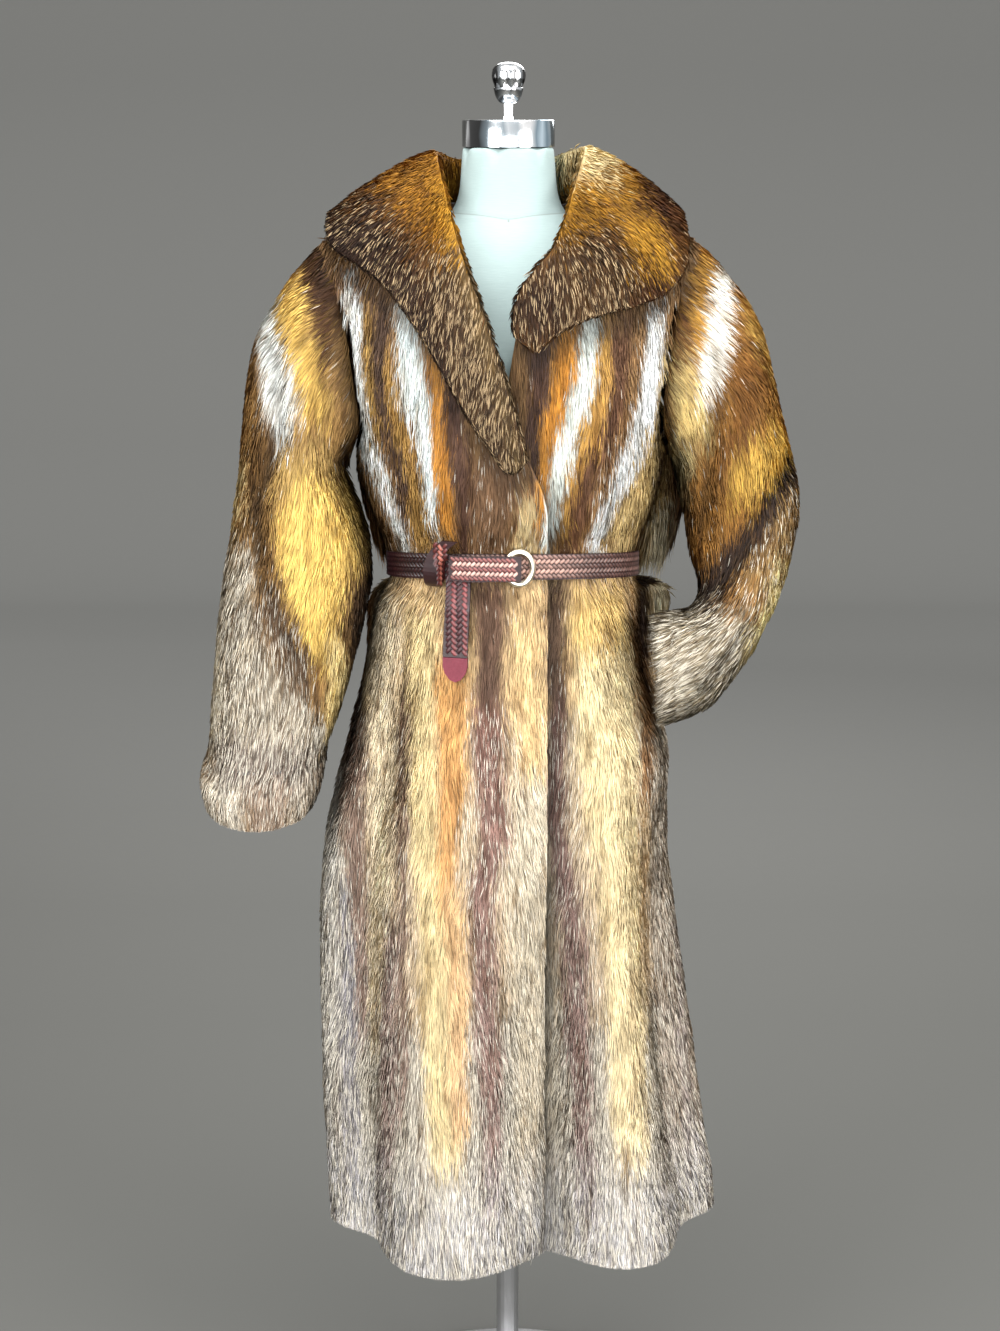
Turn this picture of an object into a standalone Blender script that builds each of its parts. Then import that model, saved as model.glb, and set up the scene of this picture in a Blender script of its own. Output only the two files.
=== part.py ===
"""A long fox-fur coat, belted with a braided leather belt, on a limbless dress form with its stand.

Metres, +Z up, +X to the coat's own left side, -Y to its front. The origin is the middle of the stand's foot, on the
surface that it stands on. Names say left and right as the wearer would: the right front laps over the left one.

The coat is one skin of points, cut into its panels. A panel's wall runs inward from the skin along the normals that
the whole skin has, so that two panels meet on one mitre, with SEAM_GAP between them.
"""

import math

import bmesh
import bpy
import numpy as np
from mathutils import Vector
from mathutils.bvhtree import BVHTree

# ---------------------------------------------------------------- driving dimensions

WALL = 0.010          # hide, lining and the laid pile
SEAM_GAP = 0.0003     # between two pieces that meet
HEM_DIP = 0.010       # the hem hangs lower by this in front and behind, and higher at the sides
RISE = 0.130          # how far the form is raised: the heights below are with its stand at its lowest
UNDERARM = 1.120      # height of the lowest point of an armhole
NECK_SIDE = 0.075     # from the middle to the shoulder seam's neck end
RIDGE_NECK = 1.412    # height of the shoulder ridge at the neck
RIDGE_SLOPE = 0.32    # fall of the shoulder per metre towards the arm
BELT_HEIGHT = 0.985   # middle of the belt at the side
BELT_WIDTH = 0.029
BELT_THICK = 0.0035
BELT_SEAT = 0.0006    # clearance between the belt and the fur's laid pile
BELT_CLEAR = 0.0014   # between layers of the belt
BULGE_CLEAR = 0.004   # between the belt's loop and the fur above and below the belt
LOOP_WIDTH = 0.020
KNOT_X = -0.055       # where the belt's end turns down
TAIL_CLEAR = 0.0055   # the hanging end's clearance in front of the skirt
TIP_LONG = 0.030
RING_X = 0.012        # middle of the buckle's ring
RING_WIDE = 0.037
RING_TALL = 0.045
RING_WIRE = 0.0033    # radius of its wire
WAIST_TILT = 0.14     # the belt rides up in front by this share of the depth
LAP = 0.045           # how far the right front reaches past the middle
UNDER_LAP = -0.030    # how far the left front reaches under it
LAP_CLEAR = 0.009     # between the two fronts where they lap
ROUNDNESS = 2.3       # exponent of the body's oval sections

# ---------------------------------------------------------------- tables

# The coat's outline by height: its reach from the middle to each side, to the front and to the back.
BODY = [
    dict(z=0.170, right=0.220, left=0.252, front=0.194, back=0.182),
    dict(z=0.300, right=0.227, left=0.234, front=0.186, back=0.176),
    dict(z=0.430, right=0.229, left=0.216, front=0.176, back=0.168),
    dict(z=0.560, right=0.229, left=0.199, front=0.167, back=0.160),
    dict(z=0.640, right=0.222, left=0.193, front=0.161, back=0.155),
    dict(z=0.700, right=0.208, left=0.192, front=0.156, back=0.151),
    dict(z=0.760, right=0.193, left=0.198, front=0.153, back=0.148),
    dict(z=0.800, right=0.185, left=0.190, front=0.151, back=0.145),
    dict(z=0.850, right=0.172, left=0.164, front=0.148, back=0.142),
    dict(z=0.910, right=0.163, left=0.158, front=0.144, back=0.138),
    dict(z=0.945, right=0.157, left=0.157, front=0.139, back=0.134),
    dict(z=0.966, right=0.139, left=0.150, front=0.122, back=0.118),
    dict(z=1.004, right=0.139, left=0.150, front=0.122, back=0.118),
    dict(z=1.025, right=0.154, left=0.162, front=0.139, back=0.134),
    dict(z=1.065, right=0.165, left=0.174, front=0.148, back=0.142),
    dict(z=1.120, right=0.181, left=0.186, front=0.154, back=0.148),
]

# From the underarm (share 0) to the shoulder ridge (share 1).
CHEST = [
    dict(share=0.00, right=0.181, left=0.186, front=0.154, back=0.148),
    dict(share=0.30, right=0.201, left=0.204, front=0.156, back=0.150),
    dict(share=0.60, right=0.214, left=0.215, front=0.155, back=0.148),
    dict(share=0.85, right=0.231, left=0.232, front=0.154, back=0.146),
    dict(share=1.00, right=0.250, left=0.252, front=0.153, back=0.145),
]

# Long soft folds: the angle from the middle of the front, towards the coat's left; how far the fold stands out or
# in; its half spread; and the heights between which it shows. The first two are the fullness that the belt gathers
# behind each arm.
FOLD_RISE = 0.12      # a fold grows from this much below its low height to this much above it
FOLD_FADE = 0.22      # over this height a fold dies away at its top, unless it says otherwise
FOLDS = [
    dict(angle=119, reach=0.080, spread=13, low=0.84, high=1.20, fade=0.12),
    dict(angle=-114, reach=0.034, spread=10, low=0.86, high=1.18, fade=0.12),
    dict(angle=-20, reach=0.028, spread=19, low=0.05, high=0.93),
    dict(angle=10, reach=-0.064, spread=9, low=0.00, high=0.66),
    dict(angle=34, reach=0.030, spread=14, low=0.05, high=0.92),
    dict(angle=-50, reach=-0.026, spread=9, low=0.05, high=0.93),
    dict(angle=-69, reach=0.016, spread=9, low=0.05, high=0.84),
    dict(angle=-86, reach=-0.010, spread=8, low=0.05, high=0.84),
    dict(angle=56, reach=0.022, spread=9, low=0.72, high=0.98),
    dict(angle=62, reach=-0.020, spread=9, low=0.05, high=0.72),
    dict(angle=80, reach=0.014, spread=9, low=0.05, high=0.70),
    dict(angle=-40, reach=-0.010, spread=6, low=1.00, high=1.28),
    dict(angle=-18, reach=0.008, spread=8, low=1.00, high=1.20),
    dict(angle=30, reach=0.008, spread=9, low=1.00, high=1.22),
    dict(angle=47, reach=-0.010, spread=6, low=1.00, high=1.26),
    dict(angle=-104, reach=0.014, spread=9, low=0.05, high=0.90),
    dict(angle=-124, reach=-0.022, spread=10, low=0.05, high=0.92),
    dict(angle=-146, reach=0.022, spread=12, low=0.05, high=0.92),
    dict(angle=-168, reach=-0.022, spread=9, low=0.05, high=0.90),
    dict(angle=172, reach=0.016, spread=11, low=0.05, high=0.92),
    dict(angle=150, reach=-0.024, spread=10, low=0.05, high=0.92),
    dict(angle=127, reach=0.022, spread=12, low=0.05, high=0.90),
    dict(angle=104, reach=-0.014, spread=9, low=0.05, high=0.84),
    dict(angle=-140, reach=-0.010, spread=8, low=1.00, high=1.25),
    dict(angle=140, reach=-0.010, spread=8, low=1.00, high=1.25),
    dict(angle=165, reach=0.008, spread=9, low=1.00, high=1.20),
]

# Sleeve sections, from the armhole to the cuff: the side next to the body, the outer side, the depth, and how far
# the front of the section leans down.
RIGHT_SLEEVE = [
    dict(near=-0.190, near_z=1.106, far=-0.281, far_z=1.290, y=-0.002, deep=0.095, lean=0.000),
    dict(near=-0.190, near_z=1.092, far=-0.302, far_z=1.234, y=-0.005, deep=0.094, lean=0.000),
    dict(near=-0.181, near_z=1.072, far=-0.311, far_z=1.170, y=-0.008, deep=0.092, lean=0.000),
    dict(near=-0.170, near_z=1.040, far=-0.316, far_z=1.100, y=-0.012, deep=0.089, lean=0.000),
    dict(near=-0.159, near_z=0.996, far=-0.327, far_z=1.030, y=-0.018, deep=0.086, lean=0.003),
    dict(near=-0.163, near_z=0.945, far=-0.340, far_z=0.960, y=-0.026, deep=0.083, lean=0.006),
    dict(near=-0.177, near_z=0.890, far=-0.348, far_z=0.893, y=-0.034, deep=0.080, lean=0.009),
    dict(near=-0.188, near_z=0.840, far=-0.353, far_z=0.838, y=-0.041, deep=0.076, lean=0.012),
    dict(near=-0.202, near_z=0.798, far=-0.357, far_z=0.794, y=-0.047, deep=0.071, lean=0.015),
    dict(near=-0.213, near_z=0.774, far=-0.357, far_z=0.770, y=-0.050, deep=0.065, lean=0.018),
]
RIGHT_CUFF = [
    dict(near=-0.213, near_z=0.774, far=-0.357, far_z=0.770, y=-0.050, deep=0.065, lean=0.018),
    dict(near=-0.212, near_z=0.756, far=-0.366, far_z=0.752, y=-0.052, deep=0.071, lean=0.021),
    dict(near=-0.218, near_z=0.732, far=-0.370, far_z=0.729, y=-0.054, deep=0.073, lean=0.024),
    dict(near=-0.226, near_z=0.712, far=-0.362, far_z=0.710, y=-0.055, deep=0.067, lean=0.026),
]
LEFT_SLEEVE = [
    dict(near=0.195, near_z=1.106, far=0.290, far_z=1.290, y=-0.002, deep=0.095, lean=0.000),
    dict(near=0.198, near_z=1.090, far=0.306, far_z=1.232, y=-0.005, deep=0.094, lean=0.000),
    dict(near=0.202, near_z=1.066, far=0.317, far_z=1.172, y=-0.010, deep=0.091, lean=0.000),
    dict(near=0.207, near_z=1.034, far=0.333, far_z=1.122, y=-0.016, deep=0.087, lean=0.000),
    dict(near=0.213, near_z=1.004, far=0.344, far_z=1.080, y=-0.024, deep=0.083, lean=0.000),
    dict(near=0.219, near_z=0.980, far=0.338, far_z=1.020, y=-0.040, deep=0.079, lean=0.000),
    dict(near=0.222, near_z=0.965, far=0.320, far_z=0.966, y=-0.062, deep=0.075, lean=0.000),
    dict(near=0.219, near_z=0.957, far=0.297, far_z=0.918, y=-0.082, deep=0.071, lean=0.000),
    dict(near=0.213, near_z=0.952, far=0.267, far_z=0.873, y=-0.098, deep=0.067, lean=0.000),
    dict(near=0.204, near_z=0.950, far=0.237, far_z=0.838, y=-0.108, deep=0.063, lean=0.000),
]
LEFT_CUFF = [
    dict(near=0.204, near_z=0.950, far=0.237, far_z=0.838, y=-0.108, deep=0.063, lean=0.000),
    dict(near=0.194, near_z=0.951, far=0.214, far_z=0.824, y=-0.111, deep=0.062, lean=0.000),
    dict(near=0.180, near_z=0.948, far=0.191, far_z=0.817, y=-0.113, deep=0.060, lean=0.000),
]

# Collar sections from the middle of the back, round the neck and down the lapel. roll is where the collar turns
# over; edge is its free edge, in the front or back view; loft is how far it arches between them. A roll with no
# depth lies on the front.
RIGHT_COLLAR = [
    dict(roll=(0.000, 0.082, 1.452), edge=(0.000, 1.300), side="back", loft=0.016, thick=0.016),
    dict(roll=(-0.038, 0.075, 1.458), edge=(-0.090, 1.300), side="back", loft=0.016, thick=0.016),
    dict(roll=(-0.062, 0.048, 1.464), edge=(-0.160, 1.312), side="back", loft=0.014, thick=0.017),
    dict(roll=(-0.074, 0.020, 1.469), edge=(-0.192, 0.036), side="top", loft=0.010, thick=0.018),
    dict(roll=(-0.076, -0.002, 1.466), edge=(-0.201, -0.006), side="top", loft=0.009, thick=0.018),
    dict(roll=(-0.073, -0.026, 1.454), edge=(-0.192, 1.346), side="front", loft=0.012, thick=0.018),
    dict(roll=(-0.063, -0.062, 1.414), edge=(-0.162, 1.333), side="front", loft=0.014, thick=0.017),
    dict(roll=(-0.047, None, 1.356), edge=(-0.131, 1.314), side="front", loft=0.012, thick=0.016),
    dict(roll=(-0.029, None, 1.306), edge=(-0.103, 1.282), side="front", loft=0.010, thick=0.015),
    dict(roll=(-0.013, None, 1.266), edge=(-0.079, 1.244), side="front", loft=0.008, thick=0.014),
    dict(roll=(0.001, None, 1.222), edge=(-0.055, 1.199), side="front", loft=0.006, thick=0.013),
    dict(roll=(0.013, None, 1.176), edge=(-0.028, 1.154), side="front", loft=0.004, thick=0.012),
    dict(roll=(0.022, None, 1.126), edge=(0.002, 1.111), side="front", loft=0.002, thick=0.010),
]
LEFT_COLLAR = [
    dict(roll=(0.000, 0.082, 1.452), edge=(0.000, 1.300), side="back", loft=0.016, thick=0.016),
    dict(roll=(0.040, 0.075, 1.461), edge=(0.090, 1.300), side="back", loft=0.016, thick=0.016),
    dict(roll=(0.068, 0.048, 1.472), edge=(0.160, 1.312), side="back", loft=0.014, thick=0.017),
    dict(roll=(0.082, 0.020, 1.476), edge=(0.186, 0.036), side="top", loft=0.010, thick=0.018),
    dict(roll=(0.082, -0.002, 1.471), edge=(0.194, -0.006), side="top", loft=0.009, thick=0.018),
    dict(roll=(0.076, -0.027, 1.454), edge=(0.190, 1.336), side="front", loft=0.014, thick=0.018),
    dict(roll=(0.063, -0.063, 1.412), edge=(0.165, 1.306), side="front", loft=0.020, thick=0.018),
    dict(roll=(0.044, None, 1.360), edge=(0.128, 1.290), side="front", loft=0.016, thick=0.017),
    dict(roll=(0.011, None, 1.322), edge=(0.084, 1.281), side="front", loft=0.012, thick=0.016),
    dict(roll=(-0.001, None, 1.292), edge=(0.046, 1.262), side="front", loft=0.008, thick=0.013),
    dict(roll=(0.001, None, 1.262), edge=(0.026, 1.243), side="front", loft=0.004, thick=0.010),
]
COLLAR_CLEAR = 0.0050    # between the collar and the coat that it lies on
COLLAR_EDGE = 0.005      # how far its free edge rounds past its last section
COLLAR_STAND = 0.045     # how far it stands up from the neckline
LAPEL_DEPTH = -0.16      # a depth in front of the lapels
NECK_EDGE_REACH = 0.025  # past this far from the skin's edge, a point is over the neck

# The dress form by height: half width, and reach to the front and the back.
FORM = [
    dict(z=0.650, side=0.118, front=0.080, back=0.084),
    dict(z=0.656, side=0.142, front=0.098, back=0.102),
    dict(z=0.700, side=0.152, front=0.106, back=0.112),
    dict(z=0.800, side=0.150, front=0.108, back=0.114),
    dict(z=0.870, side=0.140, front=0.104, back=0.106),
    dict(z=0.930, side=0.124, front=0.088, back=0.092),
    dict(z=0.985, side=0.112, front=0.080, back=0.086),
    dict(z=1.040, side=0.118, front=0.086, back=0.090),
    dict(z=1.120, side=0.134, front=0.104, back=0.100),
    dict(z=1.200, side=0.150, front=0.122, back=0.108),
    dict(z=1.260, side=0.163, front=0.116, back=0.110),
    dict(z=1.310, side=0.172, front=0.100, back=0.100),
    dict(z=1.335, side=0.168, front=0.086, back=0.088),
    dict(z=1.355, side=0.146, front=0.076, back=0.076),
    dict(z=1.370, side=0.112, front=0.068, back=0.068),
    dict(z=1.382, side=0.082, front=0.062, back=0.063),
    dict(z=1.396, side=0.062, front=0.057, back=0.058),
    dict(z=1.420, side=0.055, front=0.0545, back=0.0545),
    dict(z=1.467, side=0.0535, front=0.0535, back=0.0535),
]

# Turned pieces, from the top of the outer side to the bottom: radius and height.
KNOB = [
    (0.0000, 1.5610), (0.0080, 1.5600), (0.0140, 1.5572), (0.0180, 1.5522), (0.0198, 1.5450), (0.0190, 1.5380),
    (0.0168, 1.5330), (0.0160, 1.5305), (0.0158, 1.5260), (0.0140, 1.5205), (0.0105, 1.5165), (0.0078, 1.5150),
    (0.0000, 1.5150),
]
STEM = [(0.0000, 1.5147), (0.0066, 1.5147), (0.0066, 1.5010), (0.0085, 1.4973), (0.0000, 1.4973)]
CAP = [
    (0.0000, 1.4970), (0.0300, 1.4966), (0.0510, 1.4956), (0.0528, 1.4940), (0.0530, 1.4900), (0.0530, 1.4700),
    (0.0524, 1.4673), (0.0000, 1.4673),
]
FOOT = [
    (0.0000, 0.0260), (0.0300, 0.0250), (0.0800, 0.0215), (0.1500, 0.0155), (0.2000, 0.0095), (0.2080, 0.0060),
    (0.2080, 0.0000), (0.0000, 0.0000),
]
POLE_RADIUS = 0.014
POLE_ENDS = (0.0263, 0.6497 + RISE)

SKIRT_ROWS = (0.170, 0.205, 0.270, 0.340, 0.410, 0.480, 0.550, 0.620, 0.680, 0.735, 0.785, 0.830, 0.875, 0.915)
WAIST_ROWS = (0.945, 0.962, 0.966, 1.004, 1.008, 1.025, 1.052, 1.085, 1.120)
CHEST_STEPS = 9
CHEST_ROWS = tuple((1 - math.cos(math.pi * k / CHEST_STEPS)) / 2 for k in range(1, CHEST_STEPS + 1))

# ---------------------------------------------------------------- small helpers


def along(rows, key, by, at):
    """A table's column at some value of another column, on a smooth curve through its rows."""
    x = [row[by] for row in rows]
    y = [row[key] for row in rows]
    at = min(max(at, x[0]), x[-1])
    k = min(max(int(np.searchsorted(x, at)) - 1, 0), len(x) - 2)

    def slope(i):
        if i in (0, len(x) - 1):
            return 0.0
        before = (y[i] - y[i - 1]) / (x[i] - x[i - 1])
        after = (y[i + 1] - y[i]) / (x[i + 1] - x[i])
        return 0.0 if before * after <= 0 else 2 * before * after / (before + after)

    span = x[k + 1] - x[k]
    s = (at - x[k]) / span
    rise = (1 + 2 * s) * (1 - s) ** 2 * y[k] + s * s * (3 - 2 * s) * y[k + 1]
    return rise + span * (s * (1 - s) ** 2 * slope(k) - s * s * (1 - s) * slope(k + 1))


def ease(value, low, high):
    """0 below low, 1 above high, and a smooth step between."""
    s = min(max((value - low) / (high - low), 0.0), 1.0)
    return s * s * (3 - 2 * s)


def material(name, colour, roughness, metallic=0.0):
    made = bpy.data.materials.new(name)
    made.use_nodes = True
    shader = made.node_tree.nodes["Principled BSDF"]
    shader.inputs["Base Color"].default_value = (*colour, 1.0)
    shader.inputs["Roughness"].default_value = roughness
    shader.inputs["Metallic"].default_value = metallic
    return made


def add_object(name, mesh, finish, smooth=True):
    made = bpy.data.objects.new(name, mesh)
    made.location.z = RISE
    made.data.materials.append(finish)
    if smooth:
        mesh.shade_smooth()
        mesh.set_sharp_from_angle(angle=math.radians(50))
    COLLECTION.objects.link(made)
    return made


def finished(name, mesh, finish):
    """An object from a closed bmesh, its faces turned outward."""
    bmesh.ops.recalc_face_normals(mesh, faces=mesh.faces)
    if mesh.calc_volume(signed=True) < 0:
        bmesh.ops.reverse_faces(mesh, faces=mesh.faces)
    made = bpy.data.meshes.new(name)
    mesh.to_mesh(made)
    mesh.free()
    return add_object(name, made, finish)


# ---------------------------------------------------------------- the coat's skin


def fold_reach(angle, z):
    """How far the long folds move the skin out at an angle, in radians, and a height."""
    total = 0.0
    for fold in FOLDS:
        turn = (math.degrees(angle) - fold["angle"] + 180) % 360 - 180
        fade = fold.get("fade", FOLD_FADE)
        above_low = ease(z, fold["low"] - FOLD_RISE, fold["low"] + FOLD_RISE)
        below_high = 1 - ease(z, fold["high"] - fade, fold["high"])
        total += fold["reach"] * math.exp(-((turn / fold["spread"]) ** 2)) * above_low * below_high
    belt = 1 - ease(abs(z - BELT_HEIGHT), 0.0195, 0.024)
    return total * (1 - belt)


def oval(angle, sizes):
    """A point of an oval section: angle 0 is the middle of the front, and a quarter turn the coat's left."""
    s, c = math.sin(angle), math.cos(angle)
    side = sizes["left"] if s > 0 else sizes["right"]
    deep = sizes["front"] if c > 0 else sizes["back"]
    x = math.copysign(side * abs(s) ** (2 / ROUNDNESS), s)
    y = math.copysign(deep * abs(c) ** (2 / ROUNDNESS), -c)
    return x, y


def ridge(x):
    """Height of the shoulder ridge, rounded at the neck."""
    return RIDGE_NECK - RIDGE_SLOPE * max(abs(x) - NECK_SIDE, -0.02)


def lower_point(angle, z):
    """The skin from the hem to the underarm."""
    sizes = {key: along(BODY, key, "z", z) for key in ("right", "left", "front", "back")}
    x, y = oval(angle, sizes)
    out = fold_reach(angle, z) / math.hypot(x, y)
    x, y = x * (1 + out), y * (1 + out)
    tilt = WAIST_TILT * math.exp(-(((z - BELT_HEIGHT) / 0.09) ** 2))
    dip = HEM_DIP * math.cos(2 * angle) * (1 - ease(z, BODY[0]["z"], BODY[0]["z"] + 0.20))
    return np.array((x, y, z - tilt * y - dip))


def upper_point(angle, share):
    """The skin from the underarm to the shoulder ridge, where front and back meet."""
    sizes = {key: along(CHEST, key, "share", share) for key in ("right", "left", "front", "back")}
    close = math.sqrt(max(1 - share ** 3.2, 0.0))
    x, y = oval(angle, sizes)
    height = UNDERARM + share * (ridge(x) - UNDERARM)
    out = fold_reach(angle, height) * close / math.hypot(x, y)
    x, y = x * (1 + out), y * (1 + out)
    return np.array((x, y * close, UNDERARM + share * (ridge(x) - UNDERARM)))


def skin_point(angle, level):
    """level is a height up to the underarm, and 2 plus the share above it."""
    return upper_point(angle, level - 2) if level >= 2 else lower_point(angle, level)


def armhole_angle(share):
    """How far round from the middle the armhole's edge is: at the side at the underarm, then well forward."""
    return math.pi / 2 - math.radians(33) * math.sin(math.pi / 2 * min(1.0, share / 0.34) ** 0.6)


def angle_at(x, level):
    """The angle, towards the front, at which the skin has this x."""
    low, high = -math.pi / 2, math.pi / 2
    for _ in range(40):
        middle = (low + high) / 2
        if skin_point(middle, level)[0] < x:
            low = middle
        else:
            high = middle
    return (low + high) / 2


LEVELS = [*SKIRT_ROWS, *WAIST_ROWS, *(2 + share for share in CHEST_ROWS)]
FRONT_EDGE = [  # of the right front: how far it reaches past the middle, by height
    dict(z=0.0, x=LAP), dict(z=1.06, x=LAP), dict(z=1.12, x=0.024), dict(z=1.20, x=-0.004),
    dict(z=1.28, x=-0.026), dict(z=1.36, x=-0.056), dict(z=1.412, x=-NECK_SIDE),
]
UNDER_EDGE = [  # of the left front
    dict(z=0.0, x=UNDER_LAP), dict(z=1.06, x=UNDER_LAP), dict(z=1.12, x=-0.012), dict(z=1.20, x=-0.002),
    dict(z=1.23, x=0.004), dict(z=1.28, x=0.008), dict(z=1.34, x=0.052), dict(z=1.412, x=NECK_SIDE),
]


def level_height(level):
    """Near enough, the height of a level at the middle of the front."""
    return UNDERARM + (level - 2) * (RIDGE_NECK - UNDERARM) if level >= 2 else level


def side_angle(level):
    return armhole_angle(level - 2) if level >= 2 else math.pi / 2


def front_panel(edge, towards, columns):
    """Rows of points from the panel's front edge to its side seam and armhole."""
    rows = []
    for level in LEVELS:
        start = angle_at(along(edge, "x", "z", level_height(level)), level)
        end = towards * side_angle(level)
        rows.append([skin_point(start + (end - start) * i / columns, level) for i in range(columns + 1)])
    return np.array(rows)


def back_panel(columns, neck_columns):
    """Rows of points from the left side seam round the back to the right one. Its columns are the fronts' ones
    where they meet it on the shoulder, and neck_columns more between them, under the neckline."""
    neck = {sign: abs(angle_at(sign * NECK_SIDE, 3.0)) for sign in (1, -1)}
    rows = []
    for level in LEVELS:
        side = side_angle(level)
        left = [side + (neck[1] - side) * i / columns for i in range(columns + 1)]
        right = [-(side + (neck[-1] - side) * i / columns) for i in range(columns + 1)][::-1]
        ends = math.pi - left[-1], math.pi - right[0]
        middle = [ends[0] + (ends[1] - ends[0]) * i / neck_columns for i in range(1, neck_columns)]
        angles = [*(math.pi - angle for angle in left), *middle, *(math.pi - angle for angle in right)]
        rows.append([back_point(angle, level) for angle in angles])
    return np.array(rows)


def back_point(angle, level):
    """The back stops at the neckline, a circle round the neck, before it reaches the ridge."""
    if level < 2:
        return skin_point(angle, level)
    whole = skin_point(angle, 3.0)
    x = abs(whole[0])
    if x >= NECK_SIDE - 1e-5:
        return skin_point(angle, level)
    deep = math.sqrt(NECK_SIDE ** 2 - x ** 2)
    full = abs(skin_point(angle, 2.9)[1]) / math.sqrt(1 - 0.9 ** 3.2)
    stop = (1 - (deep / full) ** 2) ** (1 / 3.2)
    return skin_point(angle, 2 + (level - 2) * stop)


def lapped(rows):
    """The left front, moved in under the right one where the two lap."""
    normals = skin_normals([(rows, False, False)])
    moved = rows.copy()
    for row, level in zip(moved, LEVELS):
        under = (1 - ease(level_height(level), 1.17, 1.26)) * (WALL + LAP_CLEAR)
        for point in row:
            depth = under * (1 - ease(point[0], LAP + 0.010, LAP + 0.055))
            point -= normals[corner_key(point)] * depth
    return moved


# ---------------------------------------------------------------- sleeves


def armhole_loop(sign, front, back):
    """The armhole's points from the underarm up the front to the shoulder and down the back."""
    first = len(SKIRT_ROWS) + len(WAIST_ROWS) - 1
    return [*front[first:, -1], *back[first:-1, 0 if sign > 0 else -1][::-1]][: 2 * len(CHEST_ROWS)]


def sleeve_ring(section, count):
    """A sleeve's section, starting on the side next to the body and going round by the front."""
    near = np.array((section["near"], section["y"], section["near_z"]))
    far = np.array((section["far"], section["y"], section["far_z"]))
    ring = []
    for k in range(count):
        turn = 2 * math.pi * k / count
        front = math.copysign(abs(math.sin(turn)) ** 0.9, math.sin(turn))
        ahead = np.array((0, section["deep"], section["lean"])) * front
        ring.append((near + far) / 2 + (near - far) / 2 * math.cos(turn) - ahead)
    return ring


def sleeve_rows(loop, sections):
    count = 2 * len(CHEST_ROWS)
    start = [loop] if loop is not None else []
    return np.array([*start, *(sleeve_ring(section, count) for section in sections)])


# ---------------------------------------------------------------- walls


def corner_key(point):
    return tuple(np.round(np.asarray(point) * 1e5).astype(int))


def skin_normals(panels):
    """Outward normals of the whole skin by place, so that panels that meet share them."""
    found = {}
    for rows, wraps, flip in panels:
        height, width = rows.shape[:2]
        for j in range(height - 1):
            for i in range(width if wraps else width - 1):
                corners = [(j, i), (j, (i + 1) % width), (j + 1, (i + 1) % width), (j + 1, i)]
                points = [rows[c] for c in corners]
                normal = np.cross(points[2] - points[0], points[3] - points[1])
                normal *= -1 if flip else 1
                length = np.linalg.norm(normal)
                if length < 1e-12:
                    continue
                for k, point in enumerate(points):
                    before, after = points[k - 1] - point, points[(k + 1) % 4] - point
                    sides = np.linalg.norm(before) * np.linalg.norm(after)
                    if sides < 1e-14:
                        continue
                    opening = math.acos(min(1.0, max(-1.0, float(before @ after) / sides)))
                    key = corner_key(point)
                    found[key] = found.get(key, np.zeros(3)) + normal / length * opening
    return {key: value / max(np.linalg.norm(value), 1e-9) for key, value in found.items()}


def thick_wall(name, rows, normals, thick, finish, wraps=False, flip=False, gap=SEAM_GAP / 2):
    """A closed wall inward from a grid of points. thick is one number, or one for each point of a row. Every free
    edge is drawn in by half a seam's gap, away from the mitre that it may share with the next piece."""
    height, width = rows.shape[:2]
    thick = np.broadcast_to(np.asarray(thick, float), (height, width))
    direction = np.array([[normals[corner_key(p)] for p in row] for row in rows])
    inner = rows - direction * thick[:, :, None]
    middle = (rows + inner) / 2
    shift = np.zeros_like(rows)

    def draw_in(edge, beside, tangents, at):
        side = np.cross(tangents, direction[at])
        side /= np.maximum(np.linalg.norm(side, axis=1), 1e-12)[:, None]
        sign = np.sign(((middle[beside] - middle[at]) * side).sum(1))
        shift[at] += side * sign[:, None] * gap

    for j, beside in ((0, 1), (height - 1, height - 2)):
        if wraps:
            tangents = np.roll(rows[j], -1, axis=0) - np.roll(rows[j], 1, axis=0)
        else:
            tangents = np.gradient(rows[j], axis=0)
        draw_in(j, (beside, slice(None)), tangents, (j, slice(None)))
    if not wraps:
        for i, beside in ((0, 1), (width - 1, width - 2)):
            draw_in(i, (slice(None), beside), np.gradient(rows[:, i], axis=0), (slice(None), i))
    seam_outer, seam_inner = rows, inner
    outer, inner = rows + shift, inner + shift

    mesh = bmesh.new()
    outside = [[mesh.verts.new(p) for p in row] for row in outer]
    inside = [[mesh.verts.new(p) for p in row] for row in inner]

    def face(corners):
        mesh.faces.new(corners[::-1] if flip else corners)

    def rim(corners, places):
        """A face of a rim in two triangles, split the same way on both pieces that meet there."""
        keys = [corner_key(place) for place in places]
        first = keys.index(min(keys))
        turned = [corners[(first + k) % 4] for k in range(4)]
        face(turned[:3])
        face([turned[0], *turned[2:]])

    last = width if wraps else width - 1
    for j in range(height - 1):
        for i in range(last):
            k = (i + 1) % width
            face([outside[j][i], outside[j][k], outside[j + 1][k], outside[j + 1][i]])
            face([inside[j + 1][i], inside[j + 1][k], inside[j][k], inside[j][i]])
    low, high = seam_inner, seam_outer
    for i in range(last):
        k = (i + 1) % width
        rim([inside[0][i], inside[0][k], outside[0][k], outside[0][i]],
            [low[0, i], low[0, k], high[0, k], high[0, i]])
        rim([outside[-1][i], outside[-1][k], inside[-1][k], inside[-1][i]],
            [high[-1, i], high[-1, k], low[-1, k], low[-1, i]])
    if not wraps:
        for j in range(height - 1):
            k = j + 1
            rim([outside[j][0], outside[k][0], inside[k][0], inside[j][0]],
                [high[j, 0], high[k, 0], low[k, 0], low[j, 0]])
            rim([inside[j][-1], inside[k][-1], outside[k][-1], outside[j][-1]],
                [low[j, -1], low[k, -1], high[k, -1], high[j, -1]])
    return finished(name, mesh, finish)


# ---------------------------------------------------------------- collar


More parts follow.
